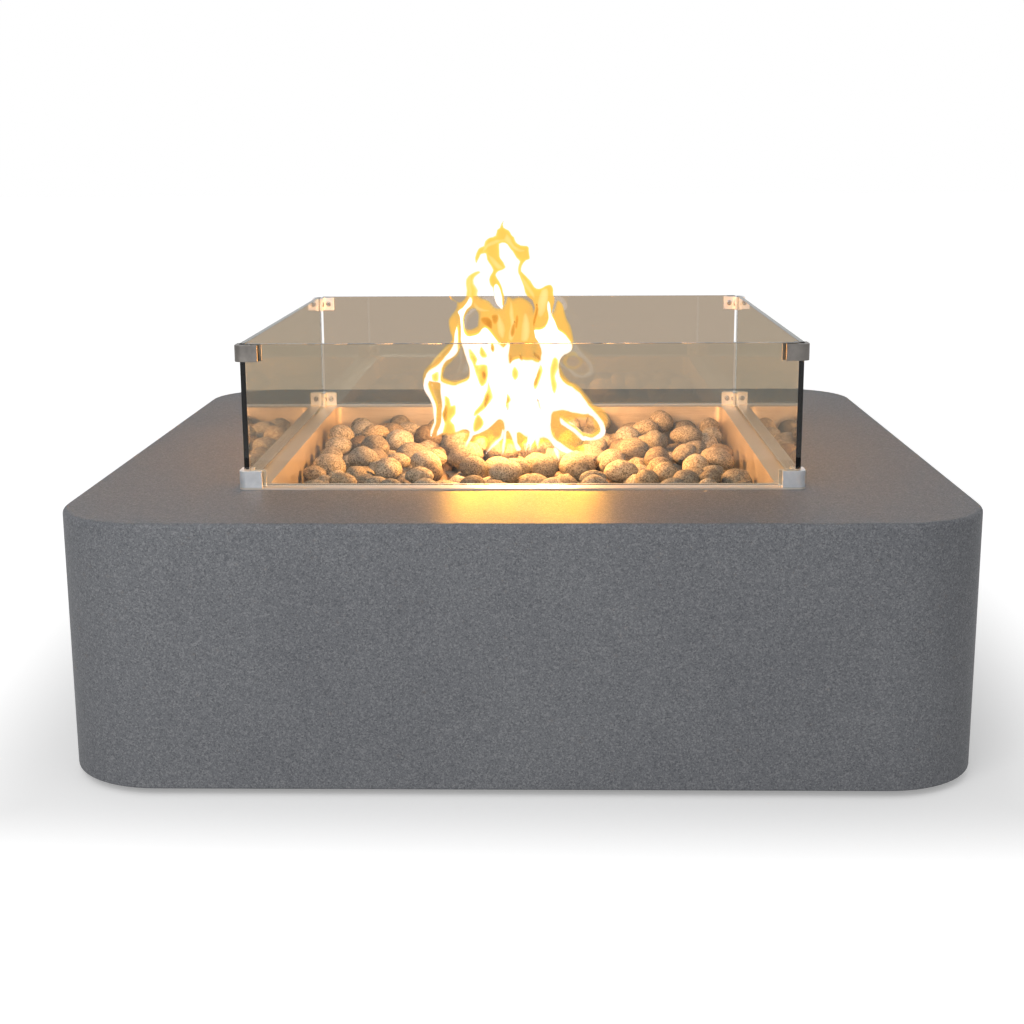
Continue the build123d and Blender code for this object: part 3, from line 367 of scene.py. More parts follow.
for name, piece in nodes.items():
    if slot_of[name] in finishes:
        finish = clip_with_painted_dark_reflection if name.startswith("top_clip_front") else finishes[slot_of[name]]
        piece.data.materials.clear()
        piece.data.materials.append(finish)
print("finishes:", len(finishes), "for", len(nodes), "nodes")

# %% [markdown]
# ## Worn lava pebbles
# The pan is filled with tumbled lava: rounded, pitted pebbles from grey to tan. The frame already
# holds each pebble as a faceted solid, resting on its neighbours. Geometry Nodes round every one of
# them at once: subdivide, move the skin in and out with a noise, and give each island of the mesh
# its own random tone, which the material reads. The pits are small and many, so they are relief
# in the material, and the larger dents are in the mesh.

# %% Pebble finish
CRYSTAL_MM = 1.8
MOTTLE_MM = 9
PORE_MM = 2.6
PIT_MM = 5.5
PORE_SHIFT = 0.002  # metres that the pores are pushed out of round
PORE_SHIFT_SCALE = 300
GREY_STONE = ((0.0, "#6c7276"), (0.4, "#93989b"), (1.0, "#c3c4c4"))
TAN_STONE = ((0.0, "#857a6f"), (0.5, "#a89f92"), (1.0, "#cdc4b4"))


def lava_pebble():
    material, tree, shader, place = new_material("tumbled_lava_pebble")
    tone, warmth = (
        add(tree, "ShaderNodeAttribute", "Fac", attribute_name=name) for name in ("tone", "warmth")
    )
    grey = add(tree, "ShaderNodeValToRGB", 0, Fac=tone, stops=GREY_STONE)
    tan = add(tree, "ShaderNodeValToRGB", 0, Fac=tone, stops=TAN_STONE)
    crystal = add(tree, "ShaderNodeTexVoronoi", "Color", Vector=place, Scale=1000 / CRYSTAL_MM)
    fleck = add(tree, "ShaderNodeSeparateColor", 0, Color=crystal)
    mottle = add(
        tree, "ShaderNodeTexNoise", "Fac", Vector=place, Scale=1000 / MOTTLE_MM, Detail=5,
        Roughness=0.7,
    )
    colour = add(tree, "ShaderNodeMix", 2, data_type="RGBA", _0=warmth, _6=grey, _7=tan)
    for share, pattern, stops in (
        (0.55, fleck, ((0.0, "#7d7d7d"), (1.0, "#dadada"))),
        (0.6, mottle, ((0.3, "#8c8a88"), (0.7, "#d4d2ce"))),
    ):
        tint = add(tree, "ShaderNodeValToRGB", 0, Fac=pattern, stops=stops)
        colour = add(
            tree, "ShaderNodeMix", 2, data_type="RGBA", blend_type="OVERLAY", _0=share, _6=colour,
            _7=tint,
        )
    wander = add(tree, "ShaderNodeTexNoise", "Color", Vector=place, Scale=PORE_SHIFT_SCALE)
    shifted = add(
        tree, "ShaderNodeMixRGB", 0, blend_type="ADD", Fac=PORE_SHIFT, Color1=place, Color2=wander,
    )
    depths = []
    for spot, size_mm, rim, level in ((shifted, PORE_MM, 0.16, 0.50), (place, PIT_MM, 0.08, 0.30)):
        apart = add(tree, "ShaderNodeTexVoronoi", "Distance", Vector=spot, Scale=1000 / size_mm)
        stops = ((rim, "#000000"), (level, "#ffffff"))
        depths.append(add(tree, "ShaderNodeValToRGB", 0, Fac=apart, stops=stops))
    hollow = add(tree, "ShaderNodeMath", 0, operation="MULTIPLY", _0=depths[0], _1=depths[1])
    height = add(
        tree, "ShaderNodeMath", 0, operation="MULTIPLY_ADD", _0=mottle, _1=0.6, _2=hollow,
    )
    # The pores and pits are darkened towards a near black brown: painted shade in the hollows.
    pore_shade = add(tree, "ShaderNodeMix", 2, data_type="RGBA", _0=0.7, _6=colour, _7="#38332f")
    shaded = add(tree, "ShaderNodeMix", 2, data_type="RGBA", _0=hollow, _6=pore_shade, _7=colour)
    relief = add(tree, "ShaderNodeBump", 0, Height=height, Distance=0.8 / 1000, Strength=0.6)
    give(
        tree, shader, Base_Color=shaded, Roughness=0.82, Normal=relief, IOR=1.5,
        Specular_IOR_Level=0.35,
    )
    return material


# %% Pebble shapes
WEAR = {"Swell": 0.0016, "Dent": 0.0022, "Seed": 4}
LUMPS_IN_METRE = 42.0
SAME_POINT = 1e-6
TOP_LAYER = 0.036  # above this height in the pan a pebble is in view


def geometry_tree(name, **kinds):
    """An empty Geometry Nodes tree with inputs of these kinds."""
    tree = bpy.data.node_groups.new(name, "GeometryNodeTree")
    face = tree.interface
    for label, kind in {"Geometry": "Geometry", **kinds}.items():
        face.new_socket(label, in_out="INPUT", socket_type=f"NodeSocket{kind}")
    face.new_socket("Geometry", in_out="OUTPUT", socket_type="NodeSocketGeometry")
    return tree, add(tree, "NodeGroupInput").outputs


def dress_and_end(tree, geometry, material):
    """Ends a tree: its geometry made real, with one material."""
    real = add(tree, "GeometryNodeRealizeInstances", 0, Geometry=geometry)
    dressed = add(tree, "GeometryNodeSetMaterial", 0, Geometry=real, Material=material)
    add(tree, "NodeGroupOutput", Geometry=dressed)


def pebble_tree(material):
    """Geometry Nodes that turn faceted pebbles into rounded, dented ones."""
    tree, given = geometry_tree(
        "worn_pebbles", Levels="Int", Swell="Float", Dent="Float", Seed="Int",
    )
    island = add(tree, "GeometryNodeInputMeshIsland", "Island Index")
    smooth = add(
        tree, "GeometryNodeSubdivisionSurface", 0, Mesh=given["Geometry"], Level=given["Levels"],
    )
    lumps = add(tree, "ShaderNodeTexNoise", "Fac", Scale=LUMPS_IN_METRE, Detail=2.0)
    half = add(
        tree, "ShaderNodeMath", 0, operation="MULTIPLY_ADD", _0=given["Dent"], _1=-0.5,
        _2=given["Swell"],
    )
    shift = add(
        tree, "ShaderNodeMath", 0, operation="MULTIPLY_ADD", _0=lumps, _1=given["Dent"], _2=half,
    )
    normal = add(tree, "GeometryNodeInputNormal", 0)
    push = add(tree, "ShaderNodeVectorMath", 0, operation="SCALE", _0=normal, Scale=shift)
    stored = add(tree, "GeometryNodeSetPosition", 0, Geometry=smooth, Offset=push)
    for step, name in enumerate(("tone", "warmth")):
        seed = add(tree, "ShaderNodeMath", 0, operation="ADD", _0=given["Seed"], _1=step * 7.0)
        chance = add(tree, "FunctionNodeRandomValue", 1, data_type="FLOAT", ID=island, Seed=seed)
        stored = add(
            tree, "GeometryNodeStoreNamedAttribute", 0, data_type="FLOAT", domain="POINT",
            Geometry=stored, Name=name, Value=chance,
        )
    shaded = add(tree, "GeometryNodeSetShadeSmooth", 0, Geometry=stored)
    dress_and_end(tree, shaded, material)
    return tree


def merged_copy(node, name):
    """A copy of a CAD node's mesh as a new object, with its loose triangles joined."""
    mesh = nodes[node].data.copy()
    mesh.name = name
    if mesh.has_custom_normals:
        mesh.attributes.remove(mesh.attributes["custom_normal"])
    work = bmesh.new()
    work.from_mesh(mesh)
    bmesh.ops.remove_doubles(work, verts=work.verts, dist=SAME_POINT)
    work.to_mesh(mesh)
    work.free()
    return as_piece(mesh, name)


def grown(piece, tree, **inputs):
    """Runs a Geometry Nodes tree on a piece and keeps its result as a plain mesh."""
    modifier = piece.modifiers.new("shape", "NODES")
    modifier.node_group = tree
    for item in tree.interface.items_tree:
        if item.item_type == "SOCKET" and item.in_out == "INPUT" and item.name in inputs:
            modifier[item.identifier] = inputs[item.name]
    return settled(piece)


def settled(piece):
    """Keeps what a piece's modifiers make of it as its plain mesh."""
    shaped = piece.evaluated_get(bpy.context.evaluated_depsgraph_get())
    mesh = bpy.data.meshes.new_from_object(shaped)
    piece.modifiers.clear()
    piece.data = mesh
    return piece


def islands(work):
    """The separate solids of a mesh, each as a list of its points."""
    found, seen = [], set()
    for start in work.verts:
        if start in seen:
            continue
        island, waiting = [], [start]
        seen.add(start)
        while waiting:
            vert = waiting.pop()
            island.append(vert)
            for edge in vert.link_edges:
                other = edge.other_vert(vert)
                if other not in seen:
                    seen.add(other)
                    waiting.append(other)
        found.append(island)
    return found


def split_by(piece, name, choose):
    """Moves whole islands of a piece's mesh, picked by their middle, into a new piece."""
    work = bmesh.new()
    work.from_mesh(piece.data)
    taken = {
        vert.index
        for island in islands(work)
        if choose(sum((v.co for v in island), Vector()) / len(island))
        for vert in island
    }
    other = work.copy()
    for part, stays in ((work, False), (other, True)):
        part.verts.index_update()
        gone = [vert for vert in part.verts if (vert.index in taken) != stays]
        bmesh.ops.delete(part, geom=gone, context="VERTS")
    work.to_mesh(piece.data)
    work.free()
    return as_piece(as_mesh(other, name), name)


pebble_nodes = pebble_tree(lava_pebble())
low_pebbles = merged_copy("lava_stones", "pebbles_low")
top_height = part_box("lava_stones")[0].z + TOP_LAYER
top_pebbles = split_by(low_pebbles, "pebbles_top", lambda middle: middle.z > top_height)
for piece, levels in ((low_pebbles, 0), (top_pebbles, 1)):
    grown(piece, pebble_nodes, Levels=levels, **WEAR)
    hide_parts("lava_stones")
    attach(piece, "table")
    print(piece.name, len(piece.data.polygons), "faces")

# %% [markdown]
# ## Eased edges
# The clips are castings, the sheet parts are folded and the knob is moulded, so none of them has a
# knife edge: each edge is broken by a few tenths of a millimetre, and that thin round catches the
# light. A merged copy of the solid gets its flat faces joined and then a small Bevel, and stands
# for the solid.

# %% Eased copies
CLIP_EASE = 0.0005
SHEET_EASE = 0.0004
KNOB_EASE = 0.0004
EASE_STEPS = 2
FLAT_DEGREES = 0.6  # faces that meet at less than this are one face
EDGE_DEGREES = 32  # an edge sharper than this is eased


def eased_copy(node, ease):
    """A merged copy of a node with its sharp edges rounded a little, which replaces the node."""
    piece = merged_copy(node, f"eased_{node}")
    work = bmesh.new()
    work.from_mesh(piece.data)
    bmesh.ops.dissolve_limit(
        work, angle_limit=math.radians(FLAT_DEGREES), verts=work.verts, edges=work.edges,
    )
    work.to_mesh(piece.data)
    work.free()
    for polygon in piece.data.polygons:
        polygon.use_smooth = True
    bevel = piece.modifiers.new("ease", "BEVEL")
    bevel.width = ease
    bevel.segments = EASE_STEPS
    bevel.limit_method = "ANGLE"
    bevel.angle_limit = math.radians(EDGE_DEGREES)
    bevel.harden_normals = True
    bevel.use_clamp_overlap = True
    settled(piece)
    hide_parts(node)
    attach(piece, nodes[node]["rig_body"])
    return piece


corners = ["front_left", "front_right", "back_right", "back_left"]
clips = [f"{level}_clip_{corner}" for level in ("top", "bottom") for corner in corners]
eased = [eased_copy(node, CLIP_EASE) for node in clips]
eased += [eased_copy(node, SHEET_EASE) for node in ("vent_left", "vent_right", "control_recess")]
eased += [eased_copy(node, KNOB_EASE) for node in ("gas_knob", "igniter_button", "inlet_locknut")]
print("eased:", [piece.name for piece in eased])

# %% [markdown]
# ## Machine screws
# The clips, the control recess and the vents are held by small stainless button screws with a
# hexagon socket. They are all the same kind of thing in many places, which is what Geometry Nodes
# are for: one screw is made once, points stand at the seats with an arrow for the way each faces,
# and the tree puts a screw on every point and turns its socket at random, as a fitter leaves it.
# The seats are read from the frame, so that they can't drift from it.

# %% One button screw
# All sizes are shares of the head's radius.
SCREW_SIDES = 24
SOCKET_SHARE = 0.46
SOCKET_FLOOR = 0.10
HEAD_RISE = 0.42
RIM_RISE = 0.12
DOME_TOP = 0.56
SHANK_SHARE = 0.6
SHANK_LENGTH = 0.9


def button_screw():
    """A screw with a head radius of one, facing up, with its seat at height nought."""
    work = bmesh.new()
    hexagon = SOCKET_SHARE * math.cos(math.radians(30))

    def ring(height, radius=None):
        verts = []
        for k in range(SCREW_SIDES):
            angle = 2 * math.pi * k / SCREW_SIDES
            within = angle % math.radians(60) - math.radians(30)
            reach = radius if radius else hexagon / math.cos(within)
            verts.append(work.verts.new((reach * math.cos(angle), reach * math.sin(angle), height)))
        return verts

    rings = [ring(-SHANK_LENGTH, SHANK_SHARE), ring(0, SHANK_SHARE)]
    rings += [ring(0, 0.97), ring(0.04, 1.0), ring(RIM_RISE, 0.995)]
    for step in (0.35, 0.62, 0.84):
        angle = step * math.pi / 2
        height = RIM_RISE + (HEAD_RISE - RIM_RISE) * math.sin(angle)
        rings.append(ring(height, 0.60 + 0.395 * math.cos(angle)))
    rings += [ring(HEAD_RISE, DOME_TOP), ring(HEAD_RISE - 0.02), ring(SOCKET_FLOOR)]
    for near, far in zip(rings, rings[1:]):
        for k in range(SCREW_SIDES):
            n = (k + 1) % SCREW_SIDES
            work.faces.new((near[k], near[n], far[n], far[k]))
    work.faces.new(list(reversed(rings[0])))
    work.faces.new(rings[-1])
    bmesh.ops.recalc_face_normals(work, faces=work.faces)
    mesh = as_mesh(work, "one_button_screw")
    for polygon in mesh.polygons:
        polygon.use_smooth = len(polygon.vertices) == 4
    mesh.set_sharp_from_angle(angle=math.radians(40))
    return bpy.data.objects.new("one_button_screw", mesh)


# %% Screws on their seats
SCREW_SEED = 5


def screw_tree(material):
    """Geometry Nodes that put a screw on every point, along its arrow and as large as its size."""
    tree, given = geometry_tree("screws_on_seats", Screw="Object", Seed="Int")
    facing, size = (
        add(tree, "GeometryNodeInputNamedAttribute", 0, data_type=kind, Name=name)
        for name, kind in (("facing", "FLOAT_VECTOR"), ("size", "FLOAT"))
    )
    aligned = add(tree, "FunctionNodeAlignRotationToVector", 0, axis="Z", Vector=facing)
    chance = add(tree, "FunctionNodeRandomValue", 1, data_type="FLOAT", Seed=given["Seed"])
    angle = add(tree, "ShaderNodeMath", 0, operation="MULTIPLY", _0=chance, _1=math.pi)
    spin = add(tree, "FunctionNodeAxisAngleToRotation", 0, Axis=(0, 0, 1), Angle=angle)
    turned = add(
        tree, "FunctionNodeRotateRotation", 0, rotation_space="LOCAL", Rotation=aligned,
        Rotate_By=spin,
    )
    screw = add(
        tree, "GeometryNodeObjectInfo", "Geometry", Object=given["Screw"], As_Instance=True,
    )
    placed = add(
        tree, "GeometryNodeInstanceOnPoints", 0, Points=given["Geometry"], Instance=screw,
        Rotation=turned, Scale=size,
    )
    dress_and_end(tree, placed, material)
    return tree


def screw_seats(node, name):
    """Points where the screws of a CAD node sit, each with an arrow and the head's radius. The
    guard's screws face inward, and the others outward."""
    copy = merged_copy(node, name)
    work = bmesh.new()
    work.from_mesh(copy.data)
    seats = []
    for island in islands(work):
        low = Vector([min(v.co[i] for v in island) for i in range(3)])
        high = Vector([max(v.co[i] for v in island) for i in range(3)])
        middle = (low + high) / 2
        axis = 0 if abs(middle.x) > abs(middle.y) else 1
        way = Vector((0, 0, 0))
        way[axis] = (1 if middle[axis] > 0 else -1) * (-1 if node == "clip_screws" else 1)
        radius = (high.z - low.z) / 2
        tip = middle.copy()
        tip[axis] = (high if way[axis] > 0 else low)[axis]
        seats.append((tip - way * radius * HEAD_RISE, way, radius))
    work.free()
    points = bpy.data.meshes.new(name)
    points.from_pydata([seat[0] for seat in seats], [], [])
    points.attributes.new("facing", "FLOAT_VECTOR", "POINT")
    points.attributes.new("size", "FLOAT", "POINT")
    for i, (_, way, radius) in enumerate(seats):
        points.attributes["facing"].data[i].vector = way
        points.attributes["size"].data[i].value = radius
    copy.data = points
    return copy


screw = button_screw()
screw_nodes = screw_tree(finishes["steel_screws"])
for node in ("clip_screws", "recess_screws", "vent_screws"):
    piece = grown(screw_seats(node, f"button_{node}"), screw_nodes, Screw=screw, Seed=SCREW_SEED)
    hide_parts(node)
    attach(piece, nodes[node]["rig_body"])
    print(piece.name, len(piece.data.polygons), "faces")
bpy.data.objects.remove(screw)

# %% [markdown]
# ## Floor, light and air
# The object stands on a plain pale floor in soft light from a white surround, with one large soft
# lamp in front. The floor looks white because of its colour and a little of its own light, which
# is weaker close to the object and grows away from it, a painted shadow around its foot, so no lamp
# has to be turned up for it, and it still takes the real shadow too.
# Small warm lamps inside the flame light the pebbles, the pan and the glass. They don't light the
# concrete: the glow on its top is a sheen from four lamps of its own.

# %% Floor and surround
FLOOR_HALF = 30.0
# Less of the floor's own light near the object than away from it: a painted shadow around its foot.
FLOOR_GLOW_NEAR = 0.30
FLOOR_GLOW_FAR = 0.66
GLOW_STARTS, GLOW_ENDS = 0.53, 0.82  # metres from the middle
SURROUND = 0.50
IN_MIRRORS = 0.42
# The floor and the surround seen through the panes are painted this warm grey: painted shade in the
# glass.
THROUGH_GLASS = "#c1b1a4"


def seen_share(tree):
    """1 for a ray from the camera, rather less by a mirror, and 0 for the light that falls on
    the object. The second value is 1 for a ray that has come through glass."""
    rays = add(tree, "ShaderNodeLightPath").outputs
    mirrored = add(
        tree, "ShaderNodeMath", 0, operation="MULTIPLY", _0=rays["Is Glossy Ray"], _1=IN_MIRRORS,
    )
    seen = add(
        tree, "ShaderNodeMath", 0, operation="MAXIMUM", _0=rays["Is Camera Ray"], _1=mirrored,
    )
    return seen, rays["Is Transmission Ray"]


def white_floor():
    material, tree, output = bare_material("white_studio_floor")
    direct, through = seen_share(tree)
    place = add(tree, "ShaderNodeTexCoord", "Object")
    across = add(tree, "ShaderNodeSeparateXYZ", Vector=place).outputs
    apart = [
        add(tree, "ShaderNodeMath", 0, operation="ABSOLUTE", _0=across[axis]) for axis in ("X", "Y")
    ]
    furthest = add(tree, "ShaderNodeMath", 0, operation="MAXIMUM", _0=apart[0], _1=apart[1])
    # The floor's own light is dimmer near the object: a painted shadow.
    glow_painted_shadow = add(
        tree, "ShaderNodeMapRange", 0, Value=furthest, From_Min=GLOW_STARTS, From_Max=GLOW_ENDS,
        To_Min=FLOOR_GLOW_NEAR, To_Max=FLOOR_GLOW_FAR, interpolation_type="SMOOTHSTEP",
    )
    matt = add(tree, "ShaderNodeBsdfDiffuse", 0, Color="#e6e6e6")
    strength = add(tree, "ShaderNodeMath", 0, operation="MULTIPLY", _0=direct, _1=glow_painted_shadow)
    glow = add(tree, "ShaderNodeEmission", 0, Color="#ffffff", Strength=strength)
    own = add(tree, "ShaderNodeAddShader", 0, _0=matt, _1=glow)
    painted_shade_through_glass = add(tree, "ShaderNodeEmission", 0, Color=THROUGH_GLASS, Strength=1.0)
    both = add(tree, "ShaderNodeMixShader", 0, _0=through, _1=own, _2=painted_shade_through_glass)
    give(tree, output, Surface=both)
    return material


floor_mesh = bpy.data.meshes.new("floor")
corner_signs = ((-1, -1), (1, -1), (1, 1), (-1, 1))
floor_mesh.from_pydata(
    [(x * FLOOR_HALF, y * FLOOR_HALF, 0) for x, y in corner_signs], [], [(0, 1, 2, 3)],
)
floor_mesh.materials.append(white_floor())
floor = as_piece(floor_mesh, "floor")

world = bpy.data.worlds.new("surround")
world.use_nodes = True
scene.world = world
tree = world.node_tree
tree.nodes.clear()
direct, through = seen_share(tree)
strength = add(tree, "ShaderNodeMapRange", 0, Value=direct, To_Min=SURROUND, To_Max=1.0)
# Seen through glass, the surround is painted warm grey: painted shade.
colour = add(
    tree, "ShaderNodeMix", 2, data_type="RGBA", _0=through, _6="#ffffff", _7=THROUGH_GLASS,
)
light = add(tree, "ShaderNodeBackground", 0, Color=colour, Strength=strength)
add(tree, "ShaderNodeOutputWorld", Surface=light)
scene.view_settings.view_transform = "Standard"
print("surround strength", SURROUND)

# %% Lamps
FOLD_DEPTH = 0.020
FOLD_ACROSS = 0.036
FOLD_UP = 0.075
SOFT_PLACE, SOFT_TARGET = (-0.55, -2.0, 1.25), (0, -0.53, 0.3)
SOFT_SIZE = 1.2
SOFT_WATTS = 14
FIRE = "#ffb060"
FRONT_STEP = 0.15  # how far the last of the fire lamps stands in front of the flame
FIRE_LAMPS = (  # name, x, height, radius, watts
    ("fire_left", -0.037, 0.425, 0.009, 3.6),
    ("fire_middle", -0.004, 0.388, 0.010, 2.6),
    ("fire_right", 0.033, 0.440, 0.007, 3.6),
    ("fire_high", 0.036, 0.467, 0.008, 3.2),
    ("fire_front", 0.010, 0.430, 0.030, 1.6),
)
DECK_GLOW = "#ffb02c"
DECK_GLOW_PLACES = ((-0.085, 0.37), (-0.03, 0.39), (0.03, 0.39), (0.080, 0.37))
DECK_GLOW_RADIUS = 0.02
DECK_GLOW_WATTS = 3.2


def folded(x, z):
    """A point of the flame's sheet, which folds to and fro in depth. It is set along the line of
    sight, so that a fold doesn't shift the outline."""
    flat = Vector((x, 0, z))
    depth = FOLD_DEPTH * math.sin(x / FOLD_ACROSS + 0.6) * math.cos(z / FOLD_UP)
    share = (depth - CAMERA_PLACE.y) / -CAMERA_PLACE.y
    return CAMERA_PLACE + (flat - CAMERA_PLACE) * share


def fire_lamp(name, place, radius, watts, colour):
    """A ball of warm light inside the flame."""
    data = bpy.data.lights.new(name, "POINT")
    data.shadow_soft_size = radius
    data.energy = watts
    data.color = linear(colour)[:3]
    lamp = as_piece(data, name)
    lamp.location = place
    lamp.visible_camera = lamp.visible_transmission = False
    return lamp


def lights_only(lamp, pieces, state):
    """Lights only these pieces (INCLUDE), or all but these (EXCLUDE)."""
    lit = bpy.data.collections.new(f"lit_by_{lamp.name}")
    for piece in pieces:
        lit.objects.link(piece)
        lit.collection_objects[-1].light_linking.link_state = state
    lamp.light_linking.receiver_collection = lit


soft_light = bpy.data.lights.new("soft_front", "AREA")
soft_light.shape = "SQUARE"
soft_light.size = SOFT_SIZE
soft_light.energy = SOFT_WATTS
soft_aim = (Vector(SOFT_TARGET) - Vector(SOFT_PLACE)).to_track_quat("-Z", "Y").to_matrix()
soft_front = as_piece(soft_light, "soft_front")
soft_front.matrix_world = Matrix.Translation(SOFT_PLACE) @ soft_aim.to_4x4()
for name, x, z, radius, watts in FIRE_LAMPS:
    in_front = name == "fire_front"
    place = folded(x, z) - Vector((0, FRONT_STEP * in_front, 0))
    lamp = fire_lamp(name, place, radius, watts, FIRE)
    lamp.visible_glossy = not in_front
    lights_only(lamp, [nodes["body_shell"], floor], "EXCLUDE")
for i, (x, z) in enumerate(DECK_GLOW_PLACES):
    name = f"deck_glow_{i}"
    lamp = fire_lamp(name, folded(x, z), DECK_GLOW_RADIUS, DECK_GLOW_WATTS, DECK_GLOW)
    lamp.visible_diffuse = False
    lights_only(lamp, [nodes["body_shell"]], "INCLUDE")

# %% [markdown]
# ## The flame
# A gas fire burns in curling sheets of gas. Where a sheet is thick it is so bright that it looks
# white, and its thin edges are clear gold. Each sheet here is drawn as an outline, with holes or
# without, filled with triangles, and given a thickness that falls to nothing at its edge, so that
# it is a closed cushion of gas. The gas is a volume: the gold kind swallows blue light, and shows
# gold against the dark panes and the white air alike, and the white kind is too bright to see
# through. The sheets stand in layers, front and back, with one turned across them, so that the
# flame has a body from every side. It belongs to the stage and isn't part of the object.

# %% Outlines of the flame
# An outline is a closed line, in x and height in millimetres. A sheet of gold is an edge and its
# holes, and every other sheet is one outline.
GOLD_SHEETS = [
    [
        [(-137, 333), (-133, 347), (-131, 363), (-134, 376), (-139, 390), (-145, 402), (-146, 412),
         (-141, 422), (-133, 431), (-123, 444), (-113, 455), (-103, 464), (-105, 474), (-108, 485),
         (-107, 493), (-101, 502), (-97, 509), (-96, 516), (-103, 520), (-106, 525), (-99, 521),
         (-92, 517), (-85, 521), (-82, 532), (-82, 549), (-75, 556), (-65, 560), (-62, 557),
         (-70, 550), (-71, 542), (-66, 533), (-67, 527), (-59, 521), (-49, 518), (-43, 511),
         (-35, 508), (-28, 514), (-24, 524), (-17, 522), (-6, 524), (4, 519), (11, 511), (15, 497),
         (25, 491), (36, 500), (42, 511), (45, 519), (52, 514), (56, 504), (59, 494), (63, 483),
         (66, 472), (68, 462), (67, 451), (59, 446), (52, 442), (49, 432), (53, 420), (62, 408),
         (73, 401), (83, 391), (93, 380), (97, 373), (107, 368), (115, 360), (117, 350),
         (114, 338), (111, 327), (103, 320), (90, 320), (83, 314), (85, 307), (73, 302), (60, 301),
         (49, 304), (39, 313), (29, 318), (21, 313), (15, 307), (8, 314), (-2, 317), (-2, 307),
         (-11, 304), (-18, 313), (-25, 315), (-31, 298), (-36, 310), (-41, 321), (-54, 304),
         (-58, 311), (-59, 324), (-70, 321), (-79, 311), (-88, 305), (-89, 321), (-85, 333),
         (-96, 331), (-110, 330), (-122, 327), (-130, 326)],
        [(-90, 455), (-88, 447), (-83, 436), (-81, 426), (-81, 416), (-88, 410), (-99, 407),
         (-111, 410), (-115, 414), (-112, 423), (-105, 431), (-96, 440), (-92, 448)],
        [(-81, 500), (-76, 507), (-70, 508), (-66, 500), (-65, 492), (-67, 483), (-76, 479),
         (-83, 482), (-84, 492)],
        [(63, 347), (72, 351), (82, 353), (90, 353), (97, 346), (97, 335), (89, 331), (79, 335),
         (69, 343)],
    ],
    [
        [(-67, 571), (-69, 579), (-66, 589), (-62, 593), (-57, 595), (-55, 601), (-48, 605),
         (-41, 608), (-38, 616), (-34, 619), (-31, 627), (-29, 628), (-29, 620), (-22, 616),
         (-18, 610), (-14, 606), (-12, 599), (-7, 595), (2, 594), (6, 590), (7, 581), (7, 575),
         (2, 573), (-3, 566), (-4, 559), (3, 551), (11, 541), (17, 535), (22, 535), (28, 539),
         (35, 541), (39, 536), (40, 528), (42, 519), (39, 508), (35, 497), (29, 487), (22, 482),
         (14, 484), (11, 494), (13, 508), (10, 519), (3, 525), (0, 533), (-4, 544), (-8, 553),
         (-10, 561), (-8, 569), (-7, 573), (-12, 579), (-18, 587), (-23, 593), (-27, 598),
         (-36, 597), (-36, 588), (-36, 580), (-33, 575), (-28, 568), (-26, 564), (-32, 560),
         (-37, 558), (-39, 553), (-35, 546), (-31, 536), (-29, 525), (-29, 511), (-38, 513),
         (-43, 525), (-45, 536), (-49, 540), (-50, 547), (-46, 554), (-44, 560), (-48, 567),
         (-53, 575), (-54, 583), (-58, 584), (-62, 582), (-65, 575)],
    ],
    [
        [(52, 439), (59, 446), (70, 448), (77, 441), (83, 434), (78, 425), (69, 421), (59, 424),
         (53, 430)],
        [(62, 438), (69, 441), (76, 434), (73, 428), (64, 428), (60, 432)],
    ],
]
